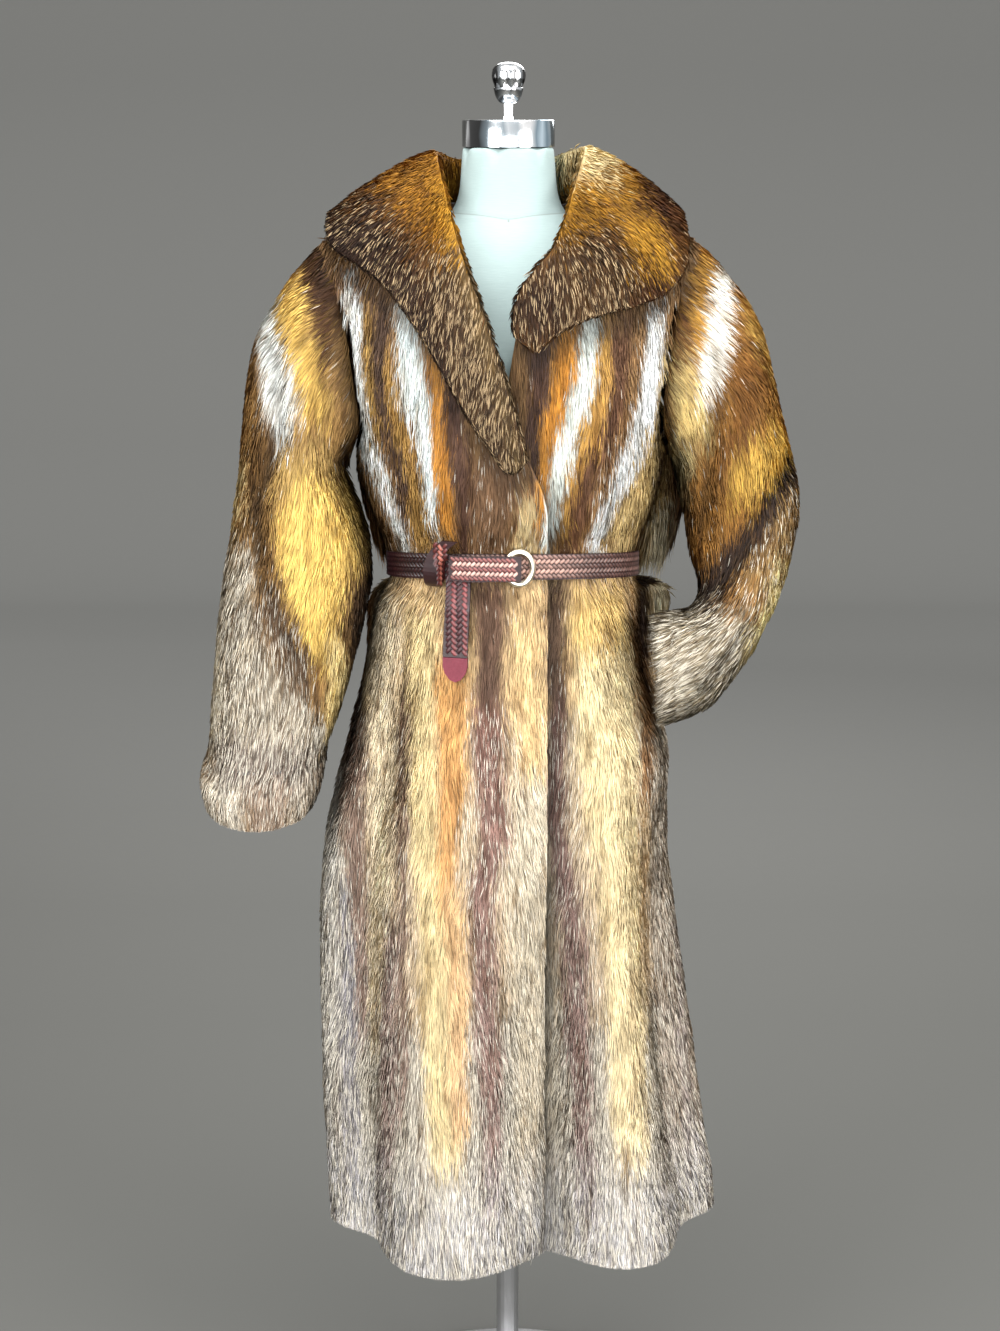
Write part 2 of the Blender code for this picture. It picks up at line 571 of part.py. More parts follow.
def coat_tree(panels):
    """The coat's skin as a tree that finds the nearest place on it."""
    corners, faces = [], []
    for rows, wraps, flip in panels:
        first = len(corners)
        height, width = rows.shape[:2]
        corners += [tuple(point) for row in rows for point in row]
        for j in range(height - 1):
            for i in range(width if wraps else width - 1):
                k = (i + 1) % width
                quad = [first + j * width + i, first + j * width + k]
                quad += [first + (j + 1) * width + k, first + (j + 1) * width + i]
                faces.append(quad[::-1] if flip else quad)
    return BVHTree.FromPolygons(corners, faces)


def clear_of(tree, point, need):
    """The point, moved out until it stands off the skin by at least what it needs. One well past an edge of the
    skin, such as above the neckline, stays where it is."""
    point = Vector(point)
    for _ in range(5):
        place, normal, _, distance = tree.find_nearest(point)
        gap = (point - place).dot(normal)
        if gap >= need or distance > max(need, NECK_EDGE_REACH):
            break
        point += normal * (need - gap)
    return point


def laid_on(tree, point):
    """The nearest place on the skin, moved out by the collar's clearance."""
    place, normal, _, _ = tree.find_nearest(point)
    return clear_of(tree, place + normal * COLLAR_CLEAR, COLLAR_CLEAR)


def seen_from(tree, side, x, other):
    """The place on the coat that is seen at (x, z) from the front or the back, or at (x, y) from above."""
    start, way = {
        "front": ((x, -1.0, other), (0, 1, 0)),
        "back": ((x, 1.0, other), (0, -1, 0)),
        "top": ((x, other, 2.0), (0, 0, -1)),
    }[side]
    place, normal, _, _ = tree.ray_cast(Vector(start), Vector(way))
    return place, normal


def smooth_row(points, count):
    """count + 1 points on a smooth curve through some, evenly by share (a Catmull-Rom curve)."""
    points = np.asarray(points, float)
    ends = np.vstack([2 * points[0] - points[1], points, 2 * points[-1] - points[-2]])
    made = []
    for step in range(count + 1):
        at = step / count * (len(points) - 1)
        k = min(int(at), len(points) - 2)
        s = at - k
        a, b, c, d = ends[k: k + 4]
        curve = 2 * b + (c - a) * s + (2 * a - 5 * b + 4 * c - d) * s ** 2 + (3 * b - a - 3 * c + d) * s ** 3
        made.append(curve / 2)
    return np.array(made)


def collar_section(tree, roll, edge, loft, thick, drop):
    """One closed section: up from the neckline, over the roll, down the fall and back beneath it."""
    roll, edge = Vector(roll), Vector(edge)
    stand = laid_on(tree, roll - Vector((0, 0, drop)))
    fall = edge - roll
    lift = Vector((roll.x + edge.x, (roll.y + edge.y) * 1.3, 0)).normalized() * 0.7 + Vector((0, 0, 0.7))
    points = [stand, stand.lerp(roll, 0.55)]
    for share in (0.0, 0.10, 0.26, 0.45, 0.65, 0.84, 1.0):
        arch = lift * loft * 4 * share * (1 - share)
        points.append(clear_of(tree, roll + fall * share + arch, COLLAR_CLEAR + thick * (1 - 0.3 * share)))
    points.append(clear_of(tree, edge + fall.normalized() * COLLAR_EDGE, COLLAR_CLEAR + thick * 0.3))
    for share in (0.97, 0.80, 0.62, 0.44, 0.24):
        points.append(laid_on(tree, stand.lerp(edge, share)))
    return points


def collar(name, tree, sections, steps, finish):
    """The collar's half: its sections round the neck and down the lapel, capped at both ends."""
    rolls, edges, sizes = [], [], []
    for section in sections:
        out = COLLAR_CLEAR + section["thick"]
        x, y, z = section["roll"]
        roll, drop = Vector((x, y or 0, z)), COLLAR_STAND
        if y is None:
            place, normal, _, _ = tree.find_nearest(Vector((x, LAPEL_DEPTH, z)))
            roll, drop = Vector((x, place.y, z)) + normal * out, 0.0
        rolls.append(roll)
        place, normal = seen_from(tree, section["side"], *section["edge"])
        edges.append(place + normal * out)
        sizes.append((section["loft"], section["thick"], drop))
    columns = [smooth_row(v, steps) for v in (rolls, edges, sizes)]
    side = -1 if sections[1]["roll"][0] < 0 else 1
    mesh = bmesh.new()
    rings = []
    for step, (roll, edge, size) in enumerate(zip(*columns)):
        points = collar_section(tree, roll, edge, *size)
        if step == 0:
            for point in points:
                point.x = side * SEAM_GAP / 2
        rings.append([mesh.verts.new(point) for point in points])
    count = len(rings[0])
    for low, high in zip(rings, rings[1:]):
        for k in range(count):
            mesh.faces.new((low[k], low[(k + 1) % count], high[(k + 1) % count], high[k]))
    mesh.faces.new(rings[0][::-1])
    mesh.faces.new(rings[-1])
    return finished(name, mesh, finish)


# ---------------------------------------------------------------- belt


def belt_place(x, up, out):
    """A point in front of the waist: x, height above the belt's middle, and distance out from the coat there."""
    angle = angle_at(x, BELT_HEIGHT)
    return round_waist(angle, up, out)


def round_waist(angle, up, out):
    point = lower_point(angle, BELT_HEIGHT)
    step = lower_point(angle + 0.01, BELT_HEIGHT) - lower_point(angle - 0.01, BELT_HEIGHT)
    away = np.array((-step[1], step[0], 0.0))
    away *= math.copysign(1, float(away @ point)) / np.linalg.norm(away)
    return point + away * out + np.array((0, 0, up))


def strap(name, line, across, finish, outward, thick=BELT_THICK, width=BELT_WIDTH, closed=False):
    """A flat strap: a ribbon along a line, as wide as it says in the direction across, made solid outward."""
    mesh = bmesh.new()
    across = np.broadcast_to(np.asarray(across, float), (len(line), 3))
    pairs = []
    for point, sideways in zip(line, across):
        half = sideways / np.linalg.norm(sideways) * width / 2
        pairs.append((mesh.verts.new(point - half), mesh.verts.new(point + half)))
    for k in range(len(pairs) if closed else len(pairs) - 1):
        low, high = pairs[k], pairs[(k + 1) % len(pairs)]
        mesh.faces.new((low[0], high[0], high[1], low[1]))
    mesh.normal_update()
    if mesh.faces[:][0].normal.dot(Vector(outward)) < 0:
        bmesh.ops.reverse_faces(mesh, faces=mesh.faces)
    made = bpy.data.meshes.new(name)
    mesh.to_mesh(made)
    mesh.free()
    piece = add_object(name, made, finish)
    solid = piece.modifiers.new("thickness", "SOLIDIFY")
    solid.thickness = thick
    solid.offset = 1
    solid.use_even_offset = True
    return piece


def front_of_coat(x, z, off):
    """A point that stands off from the front of the skirt or the bodice by some distance."""
    level = z
    for _ in range(8):
        point = lower_point(angle_at(x, level), level)
        level += z - point[2]
    return point - np.array((0, off, 0))


def over_belt(x, up, out):
    """A point over the belt, and clear of the fur where it bulges above and below the belt."""
    point = belt_place(x, up, out)
    point[1] = min(point[1], front_of_coat(point[0], point[2], BULGE_CLEAR)[1])
    return point


def build_belt():
    upright = (0, 0, 1)
    front = (0, -1, 0)
    count = 64
    band = [round_waist(2 * math.pi * k / count, 0, BELT_SEAT) for k in range(count)]
    strap("belt_band", band, upright, LEATHER, front, closed=True)

    layer = BELT_THICK + BELT_CLEAR
    second, third, fourth = (BELT_SEAT + layer * k for k in (1, 2, 3))
    over_ring = second + 2 * RING_WIRE + 2 * BELT_CLEAR
    ring_left = RING_X - RING_WIDE / 2 + RING_WIRE
    line = smooth_row([
        belt_place(KNOT_X - 0.008, 0.001, third + 0.002),
        belt_place(KNOT_X + 0.016, -0.001, third + 0.002),
        belt_place(ring_left - 0.010, 0.0, third + 0.003),
        belt_place(ring_left, 0.0, over_ring),
        belt_place(RING_X + 0.002, 0.0, over_ring),
    ], 16)
    strap("belt_fold", line, upright, LEATHER, front)

    left = KNOT_X - 0.026
    loop = smooth_row([
        over_belt(left, -0.0195, second),
        over_belt(left, -0.0160, third),
        over_belt(left + 0.001, -0.006, fourth),
        over_belt(left + 0.003, 0.008, fourth),
        over_belt(left + 0.010, 0.022, fourth),
        over_belt(left + 0.020, 0.032, fourth),
    ], 16)
    turn = belt_place(left + 0.01, 0, 0) - belt_place(left - 0.01, 0, 0)
    strap("belt_loop", loop, (turn[0], turn[1], 0), LEATHER, front, width=LOOP_WIDTH)

    fall = [belt_place(KNOT_X, 0.010, second), belt_place(KNOT_X, -0.015, second)]
    for drop in (0.040, 0.056, 0.078, 0.100):
        x = KNOT_X - 0.05 * drop
        fall.append(front_of_coat(x, BELT_HEIGHT + 0.017 - drop, TAIL_CLEAR))
    fall = smooth_row(fall, 12)
    turn = belt_place(KNOT_X + 0.01, 0, 0) - belt_place(KNOT_X - 0.01, 0, 0)
    across = (turn[0], turn[1], 0)
    strap("belt_tail", fall, across, LEATHER, front)
    belt_tip(fall[-1] - np.array((0, 0, SEAM_GAP)), math.atan2(turn[1], turn[0]))
    belt_ring(second + RING_WIRE + BELT_CLEAR / 2)


def belt_tip(top, turn):
    """The plain leather end below the braid, rounded to a point."""
    outline = [(-0.5, 0.0), (-0.5, -0.35), (-0.42, -0.62), (-0.22, -0.86), (0, -0.95)]
    outline += [(-x, z) for x, z in outline[-2::-1]]
    mesh = bmesh.new()
    corners = []
    for x, z in outline:
        side = x * BELT_WIDTH
        corners.append((top[0] + side * math.cos(turn), top[1] + side * math.sin(turn), top[2] + z * TIP_LONG))
    mesh.faces.new([mesh.verts.new(corner) for corner in corners])
    mesh.normal_update()
    if mesh.faces[:][0].normal.y > 0:
        bmesh.ops.reverse_faces(mesh, faces=mesh.faces)
    made = bpy.data.meshes.new("belt_tip")
    mesh.to_mesh(made)
    mesh.free()
    solid = add_object("belt_tip", made, LEATHER).modifiers.new("thickness", "SOLIDIFY")
    solid.thickness = BELT_THICK
    solid.offset = 1


def belt_ring(out):
    bpy.ops.mesh.primitive_torus_add(major_radius=RING_WIDE / 2 - RING_WIRE, minor_radius=RING_WIRE,
                                     major_segments=36, minor_segments=10)
    ring = bpy.context.object
    ring.name = ring.data.name = "belt_ring"
    behind, ahead = belt_place(RING_X - 0.01, 0, 0), belt_place(RING_X + 0.01, 0, 0)
    ring.scale = (1, RING_TALL / RING_WIDE, 1)
    ring.rotation_euler = (math.radians(90), 0, math.atan2(ahead[1] - behind[1], ahead[0] - behind[0]))
    ring.location = belt_place(RING_X, 0, out) + np.array((0, 0, RISE))
    ring.data.materials.append(BRASS)
    ring.data.shade_smooth()
    for collection in ring.users_collection:
        collection.objects.unlink(ring)
    COLLECTION.objects.link(ring)


# ---------------------------------------------------------------- turned and lofted pieces


def turned(name, profile, finish, steps=32):
    """A profile turned about the upright axis."""
    mesh = bpy.data.meshes.new(name)
    points = [(radius, 0.0, height) for radius, height in profile]
    mesh.from_pydata(points, [(k, k + 1) for k in range(len(points) - 1)], [])
    piece = add_object(name, mesh, finish, smooth=False)
    screw = piece.modifiers.new("turn", "SCREW")
    screw.steps = screw.render_steps = steps
    screw.use_merge_vertices = True
    screw.merge_threshold = 0.00005
    screw.use_smooth_shade = True
    return piece


def dress_form(finish):
    """The form's body and neck: rings from the bottom up, closed flat at both ends."""
    count = 28
    mesh = bmesh.new()
    rings = []
    for row in FORM:
        sizes = dict(right=row["side"], left=row["side"], front=row["front"], back=row["back"])
        rings.append([mesh.verts.new((*oval(2 * math.pi * k / count, sizes), row["z"])) for k in range(count)])
    for low, high in zip(rings, rings[1:]):
        for k in range(count):
            mesh.faces.new((low[k], low[(k + 1) % count], high[(k + 1) % count], high[k]))
    mesh.faces.new(rings[0][::-1])
    mesh.faces.new(rings[-1])
    return finished("dress_form", mesh, finish)


def upright_pole(finish):
    mesh = bmesh.new()
    bmesh.ops.create_cone(mesh, cap_ends=True, segments=20, radius1=POLE_RADIUS, radius2=POLE_RADIUS,
                          depth=POLE_ENDS[1] - POLE_ENDS[0])
    made = bpy.data.meshes.new("stand_pole")
    mesh.to_mesh(made)
    mesh.free()
    pole = add_object("stand_pole", made, finish)
    pole.location.z = sum(POLE_ENDS) / 2
    return pole


# ---------------------------------------------------------------- the object

for old in list(bpy.data.objects):
    bpy.data.objects.remove(old)
COLLECTION = bpy.data.collections.new("fur_coat_on_dress_form")
bpy.context.scene.collection.children.link(COLLECTION)

FUR_GOLD = material("fox_fur", (0.52, 0.30, 0.11), 0.75)
FUR_GRIZZLE = material("collar_fur", (0.26, 0.15, 0.08), 0.75)
LEATHER = material("braided_leather", (0.16, 0.05, 0.04), 0.45)
CHROME = material("chrome", (0.80, 0.80, 0.82), 0.10, 1.0)
STAND = material("stand_metal", (0.70, 0.70, 0.70), 0.30, 1.0)
BRASS = material("pale_brass", (0.78, 0.72, 0.56), 0.3, 1.0)
LINEN = material("form_linen", (0.86, 0.87, 0.84), 0.85)

FRONT_COLUMNS = 11
NECK_COLUMNS = 6


def build_coat():
    right = front_panel(FRONT_EDGE, -1, FRONT_COLUMNS)
    left_whole = front_panel(UNDER_EDGE, 1, FRONT_COLUMNS)
    left = lapped(left_whole)
    back = back_panel(FRONT_COLUMNS, NECK_COLUMNS)
    right_sleeve = sleeve_rows(armhole_loop(-1, right, back), RIGHT_SLEEVE)
    left_sleeve = sleeve_rows(armhole_loop(1, left, back), LEFT_SLEEVE)
    right_cuff = sleeve_rows(None, RIGHT_CUFF)
    left_cuff = sleeve_rows(None, LEFT_CUFF)
    pieces = {
        "right_front": (right, False, True),
        "left_front": (left, False, False),
        "back": (back, False, False),
        "right_sleeve": (right_sleeve, True, False),
        "left_sleeve": (left_sleeve, True, True),
        "right_cuff": (right_cuff, True, False),
        "left_cuff": (left_cuff, True, True),
    }
    normals = skin_normals(pieces.values())
    for name, (rows, wraps, flip) in pieces.items():
        thick_wall(name, rows, normals, WALL, FUR_GOLD, wraps, flip)
    return pieces.values()


def build_collar(panels):
    tree = coat_tree(panels)
    collar("right_collar", tree, RIGHT_COLLAR, 30, FUR_GRIZZLE)
    collar("left_collar", tree, LEFT_COLLAR, 26, FUR_GRIZZLE)


build_collar(build_coat())
build_belt()
dress_form(LINEN)
turned("neck_cap", CAP, CHROME)
turned("cap_stem", STEM, CHROME, 20)
turned("cap_knob", KNOB, CHROME, 24)
turned("stand_foot", FOOT, STAND, 48).location.z = 0
upright_pole(STAND)
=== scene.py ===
"""A fox-fur coat with its braided leather belt, on a dress form: hide, pile, braid, linen and chrome.

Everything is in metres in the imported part's own frame: +Z up, -Y to the coat's front, +X to its own left.
"""

import math

import bmesh
import bpy
import numpy as np
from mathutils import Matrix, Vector, noise
from mathutils.bvhtree import BVHTree
from mathutils.kdtree import KDTree


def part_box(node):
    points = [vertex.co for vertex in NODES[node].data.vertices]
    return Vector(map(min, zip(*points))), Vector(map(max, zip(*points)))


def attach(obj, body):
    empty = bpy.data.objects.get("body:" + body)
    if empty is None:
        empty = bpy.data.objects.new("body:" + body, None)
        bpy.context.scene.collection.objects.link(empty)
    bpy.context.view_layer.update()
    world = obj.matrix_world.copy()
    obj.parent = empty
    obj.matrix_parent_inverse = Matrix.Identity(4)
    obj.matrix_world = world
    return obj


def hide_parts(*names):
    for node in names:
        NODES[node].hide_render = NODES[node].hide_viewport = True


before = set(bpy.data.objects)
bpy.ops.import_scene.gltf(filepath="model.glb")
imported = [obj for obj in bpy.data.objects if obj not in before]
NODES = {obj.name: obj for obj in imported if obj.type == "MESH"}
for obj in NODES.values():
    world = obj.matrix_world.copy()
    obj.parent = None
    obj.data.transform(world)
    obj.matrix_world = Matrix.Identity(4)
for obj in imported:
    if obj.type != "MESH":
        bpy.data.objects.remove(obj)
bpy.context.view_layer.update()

WALL = 0.010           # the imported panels' thickness
SINK = 0.0065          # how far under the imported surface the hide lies
COLLAR_SINK = 0.0045   # and on the collar
HIDE = 0.0030          # hide and lining together
HIDE_SHARE = 0.22      # share of the smoothed skin's triangles that a hide keeps
NECK_SEAM = 1.5245     # height of the form's neck seam at the sides
BELT_HEIGHT = 1.115    # middle of the belt at the side
WAIST_TILT = 0.14      # the belt rides up in front by this share of the depth

HAIR_WIDTH = 0.0010
HAIR_LIFT = 0.0060     # how far a hair's tip stands off the hide
LOCK = 22              # hairs in a lock
LOCK_REACH = 0.02      # a hair joins its lock's leader within this
LOCK_PULL = 0.34       # and by this share of the way, at the most
SHORTEST = 0.007
OVERHANG = 1.152       # height of the fur that hangs over the belt at the sides
OVERHANG_SPREAD = 0.016
OVERHANG_LONG = 1.9    # how much longer it is than the rest
SHADE_REACHES = (0.014, 0.034)           # how far out a place looks for what shades it
LEAST_OPEN = {"back": 0.58, "right_front": 0.25}   # the least light that reaches a panel's folds

CAMERA_PLACE = (-0.0096, -2.8, 1.63)
CAMERA_DIP = 12.9      # degrees below level
CAMERA_LENS = 64.75
PAPER_FRONT, PAPER_TOP, PAPER_SIDE = -5.0, 8.0, 8.0   # the sweep's edges
PAPER_BEND = 5.2       # where it turns up
PAPER_RADIUS = 1.8     # of its turn
PAPER_STEPS = 40
PAPER_DROP = 0.0005    # below the stand's foot
PAPER_DEPTH = 8.0      # that the tones below run over, behind the form
PAPER_TONES = (        # thousandths of that depth, and the paper's tone there
    (30, 91), (180, 94), (260, 99), (350, 110), (420, 120), (500, 131), (580, 140), (670, 143), (800, 134),
)

# ---------------------------------------------------------------- shader maths


class Wire:
    """A node's output, which can be used in sums."""

    def __init__(self, finish, socket):
        self.finish = finish
        self.socket = socket

    def sum(self, operation, *values):
        return self.finish.node("ShaderNodeMath", {"operation": operation}, dict(enumerate(values)))

    def __add__(self, other):
        return self.sum("ADD", self, other)

    def __radd__(self, other):
        return self.sum("ADD", other, self)

    def __sub__(self, other):
        return self.sum("SUBTRACT", self, other)

    def __rsub__(self, other):
        return self.sum("SUBTRACT", other, self)

    def __mul__(self, other):
        return self.sum("MULTIPLY", self, other)

    def __rmul__(self, other):
        return self.sum("MULTIPLY", other, self)

    def __truediv__(self, other):
        return self.sum("DIVIDE", self, other)

    def __rtruediv__(self, other):
        return self.sum("DIVIDE", other, self)

    def __pow__(self, other):
        return self.sum("POWER", self, other)

    def clipped(self):
        return self.sum("MINIMUM", self.sum("MAXIMUM", self, 0.0), 1.0)

    def size(self):
        return self.sum("ABSOLUTE", self)

    def wave(self):
        return self.sum("SINE", self)


class Finish:
    """A material round one Principled shader, and the nodes that feed it."""

    def __init__(self, name, colour=(0.5, 0.5, 0.5), **settings):
        self.material = bpy.data.materials.new(name)
        self.material.use_nodes = True
        self.tree = self.material.node_tree
        self.shader = self.tree.nodes["Principled BSDF"]
        self.shader.inputs["Base Color"].default_value = (*colour, 1.0)
        for socket, value in settings.items():
            self.shader.inputs[socket.replace("_", " ")].default_value = value

    def node(self, kind, settings=None, values=None, output=0):
        made = self.tree.nodes.new(kind)
        for key, value in (settings or {}).items():
            if key == "stops":
                ramp = made.color_ramp
                while len(ramp.elements) < len(value):
                    ramp.elements.new(0.5)
                for element, (place, colour) in zip(ramp.elements, value):
                    element.position = place
                    element.color = (*colour, 1.0)
            else:
                setattr(made, key, value)
        for socket, value in (values or {}).items():
            self.put(made.inputs[socket], value)
        return Wire(self, made.outputs[output])

    def put(self, socket, value):
        if isinstance(value, Wire):
            self.tree.links.new(value.socket, socket)
        elif isinstance(value, tuple) and len(value) == 3 and socket.type == "RGBA":
            socket.default_value = (*value, 1.0)
        else:
            socket.default_value = value

    def feed(self, **values):
        for socket, value in values.items():
            self.put(self.shader.inputs[socket.replace("_", " ")], value)

    def blend(self, share, first, second, kind="MIX"):
        settings = {"data_type": "RGBA", "blend_type": kind}
        return self.node("ShaderNodeMix", settings, {0: share, 6: first, 7: second}, 2)

    def place(self):
        return self.node("ShaderNodeTexCoord", output="Object")

    def axes(self):
        place = self.place()
        return [self.node("ShaderNodeSeparateXYZ", values={0: place}, output=k) for k in range(3)]

    def scaled(self, place, by):
        return self.node("ShaderNodeVectorMath", {"operation": "MULTIPLY"}, {0: place, 1: by})

    def speckle(self, place, scale, detail=2.0, rough=0.5):
        values = {"Vector": place, "Scale": scale, "Detail": detail, "Roughness": rough}
        return self.node("ShaderNodeTexNoise", values=values)

    def bump(self, height, strength, distance):
        values = {"Height": height, "Strength": strength, "Distance": distance}
        return self.node("ShaderNodeBump", values=values)

    def ramp(self, share, *stops):
        return self.node("ShaderNodeValToRGB", {"stops": stops}, {0: share})


def tone(red, green, blue):
    """A colour as a painter's chart gives it, 0 to 255, made linear."""
    def linear(v):
        v = v / 255
        return v / 12.92 if v <= 0.04045 else ((v + 0.055) / 1.055) ** 2.4
    return (linear(red), linear(green), linear(blue))


# ---------------------------------------------------------------- numbers over many points


def unit(rows):
    return rows / np.maximum(np.linalg.norm(rows, axis=-1, keepdims=True), 1e-9)


def dots(a, b):
    return (a * b).sum(-1, keepdims=True)


def step(value, low, high):
    s = np.clip((value - low) / (high - low), 0.0, 1.0)
    return s * s * (3 - 2 * s)


def cloudy(points, scale, seed=0.0):
    """Soft noise from -1 to 1 at each point; scale is in cycles per metre along each axis."""
    spots = points * np.asarray(scale) + seed
    return np.array([noise.noise(spot) for spot in spots.tolist()])


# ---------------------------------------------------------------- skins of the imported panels

RIGHT_ARM = np.array([
    (-0.150, 0.000, 1.420), (-0.225, 0.000, 1.350), (-0.249, -0.008, 1.251), (-0.250, -0.018, 1.143),
    (-0.262, -0.034, 1.021), (-0.280, -0.047, 0.926), (-0.296, -0.056, 0.820),
])
LEFT_ARM = np.array([
    (0.150, 0.000, 1.420), (0.228, 0.000, 1.350), (0.258, -0.010, 1.250), (0.279, -0.024, 1.170),
    (0.272, -0.060, 1.100), (0.240, -0.098, 1.043), (0.160, -0.115, 1.008),
])


def arm_at(points, arm):
    """The nearest places on an arm's centre line, and how far along it they are, in metres."""
    best = np.full(len(points), np.inf)
    spots = np.zeros_like(points)
    along = np.zeros(len(points))
    start = 0.0
    for a, b in zip(arm[:-1], arm[1:]):
        length = np.linalg.norm(b - a)
        share = np.clip(((points - a) @ (b - a)) / length ** 2, 0.0, 1.0)
        near = a + share[:, None] * (b - a)
        gap = np.linalg.norm(points - near, axis=1)
        closer = gap < best
        best[closer], spots[closer] = gap[closer], near[closer]
        along[closer] = (start + share * length)[closer]
        start += length
    return spots, along


def middle_of(name, points):
    """The places inside the coat that its panel's outer skin faces away from."""
    if "sleeve" in name or "cuff" in name:
        return arm_at(points, LEFT_ARM if name.startswith("left") else RIGHT_ARM)[0]
    return np.stack([points[:, 0] * 0, points[:, 0] * 0, np.clip(points[:, 2], 0.3, 1.30)], axis=1)


def welded(name):
    mesh = bmesh.new()
    mesh.from_mesh(NODES[name].data)
    bmesh.ops.remove_doubles(mesh, verts=mesh.verts, dist=1e-5)
    mesh.normal_update()
    return mesh


def islands(mesh):
    left = set(mesh.faces)
    found = []
    while left:
        todo = [left.pop()]
        island = list(todo)
        while todo:
            for edge in todo.pop().edges:
                for face in edge.link_faces:
                    if face in left:
                        left.remove(face)
                        island.append(face)
                        todo.append(face)
        found.append(island)
    return sorted(found, key=lambda faces: -sum(f.calc_area() for f in faces))


def whole(name):
    mesh = welded(name)
    bmesh.ops.join_triangles(
        mesh, faces=mesh.faces, angle_face_threshold=math.radians(60), angle_shape_threshold=math.radians(60)
    )
    made = bpy.data.meshes.new(name + "_whole")
    mesh.to_mesh(made)
    mesh.free()
    return made


def skin(name):
    """The outer skin of a packed panel without its rims, or the whole surface of a packed collar."""
    mesh = welded(name)
    if not name.endswith("collar"):
        tree = BVHTree.FromBMesh(mesh)
        centres = np.array([face.calc_center_median() for face in mesh.faces])
        outward = centres - middle_of(name, centres)
        drop = []
        for face, centre, away in zip(mesh.faces, centres.tolist(), outward.tolist()):
            below = Vector(centre) - face.normal * 1e-4
            place, normal, _, _ = tree.ray_cast(below, -face.normal, WALL * 2)
            if place is None or normal.dot(face.normal) > -0.3 or face.normal.dot(Vector(away)) < 0:
                drop.append(face)
        bmesh.ops.delete(mesh, geom=drop, context="FACES")
        for island in islands(mesh)[1:]:
            bmesh.ops.delete(mesh, geom=island, context="FACES")
    bmesh.ops.join_triangles(
        mesh, faces=mesh.faces, angle_face_threshold=math.radians(60), angle_shape_threshold=math.radians(60)
    )
    made = bpy.data.meshes.new(name + "_skin")
    mesh.to_mesh(made)
    mesh.free()
    return made


PANELS = ("back", "left_front", "right_front", "left_sleeve", "right_sleeve", "left_cuff", "right_cuff",
          "left_collar", "right_collar")


def smoothed(name, mesh, levels):
    """The mesh subdivided, as numbers: places, normals and triangles."""
    made = bpy.data.objects.new(name, mesh)
    bpy.context.scene.collection.objects.link(made)
    smoother = made.modifiers.new("smooth", "SUBSURF")
    smoother.levels = smoother.render_levels = levels
    smoother.boundary_smooth = "PRESERVE_CORNERS"
    shape = made.evaluated_get(bpy.context.evaluated_depsgraph_get()).to_mesh()
    shape.calc_loop_triangles()
    places = numbers(shape.vertices, "co", 3)
    normals = numbers(shape.vertex_normals, "vector", 3)
    triangles = numbers(shape.loop_triangles, "vertices", 3, int)
    faces = [tuple(face.vertices) for face in shape.polygons]
    made.to_mesh_clear()
    bpy.data.objects.remove(made)
    return places, normals, triangles, faces


def numbers(items, key, width, kind=float):
    found = np.zeros(len(items) * width, np.float32 if kind is float else np.int32)
    items.foreach_get(key, found)
    return found.reshape(-1, width).astype(kind)


def new_mesh(name, places, faces):
    mesh = bpy.data.meshes.new(name)
    mesh.from_pydata(places.tolist() if hasattr(places, "tolist") else places, [], faces)
    mesh.update()
    return mesh


def paint(mesh, layer, colours):
    """Gives each point of the mesh a colour."""
    made = mesh.color_attributes.new(layer, "FLOAT_COLOR", "POINT")
    rgba = np.concatenate([colours, np.ones((len(colours), 1))], axis=1)
    made.data.foreach_set("color", rgba.reshape(-1).astype(np.float32))


def show(name, mesh, finishes, smooth=True):
    """A piece of the part, riding on it."""
    made = bpy.data.objects.new(name, mesh)
    for finish in finishes:
        mesh.materials.append(finish.material)
    if smooth:
        mesh.shade_smooth()
    bpy.context.scene.collection.objects.link(made)
    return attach(made, "root")


# ---------------------------------------------------------------- camera, light and floor


def camera():
    made = bpy.data.objects.new("camera", bpy.data.cameras.new("camera"))
    made.location = CAMERA_PLACE
    made.rotation_euler = (math.radians(90 - CAMERA_DIP), 0, 0)
    made.data.lens = CAMERA_LENS
    made.data.sensor_width = 36
    bpy.context.scene.collection.objects.link(made)
    bpy.context.scene.camera = made


def soft_box(name, place, aim, size, power):
    lamp = bpy.data.lights.new(name, "AREA")
    lamp.shape = "RECTANGLE"
    lamp.size, lamp.size_y = size
    lamp.energy = power
    made = bpy.data.objects.new(name, lamp)
    made.location = place
    made.rotation_euler = (Vector(aim) - Vector(place)).to_track_quat("-Z", "Y").to_euler()
    bpy.context.scene.collection.objects.link(made)


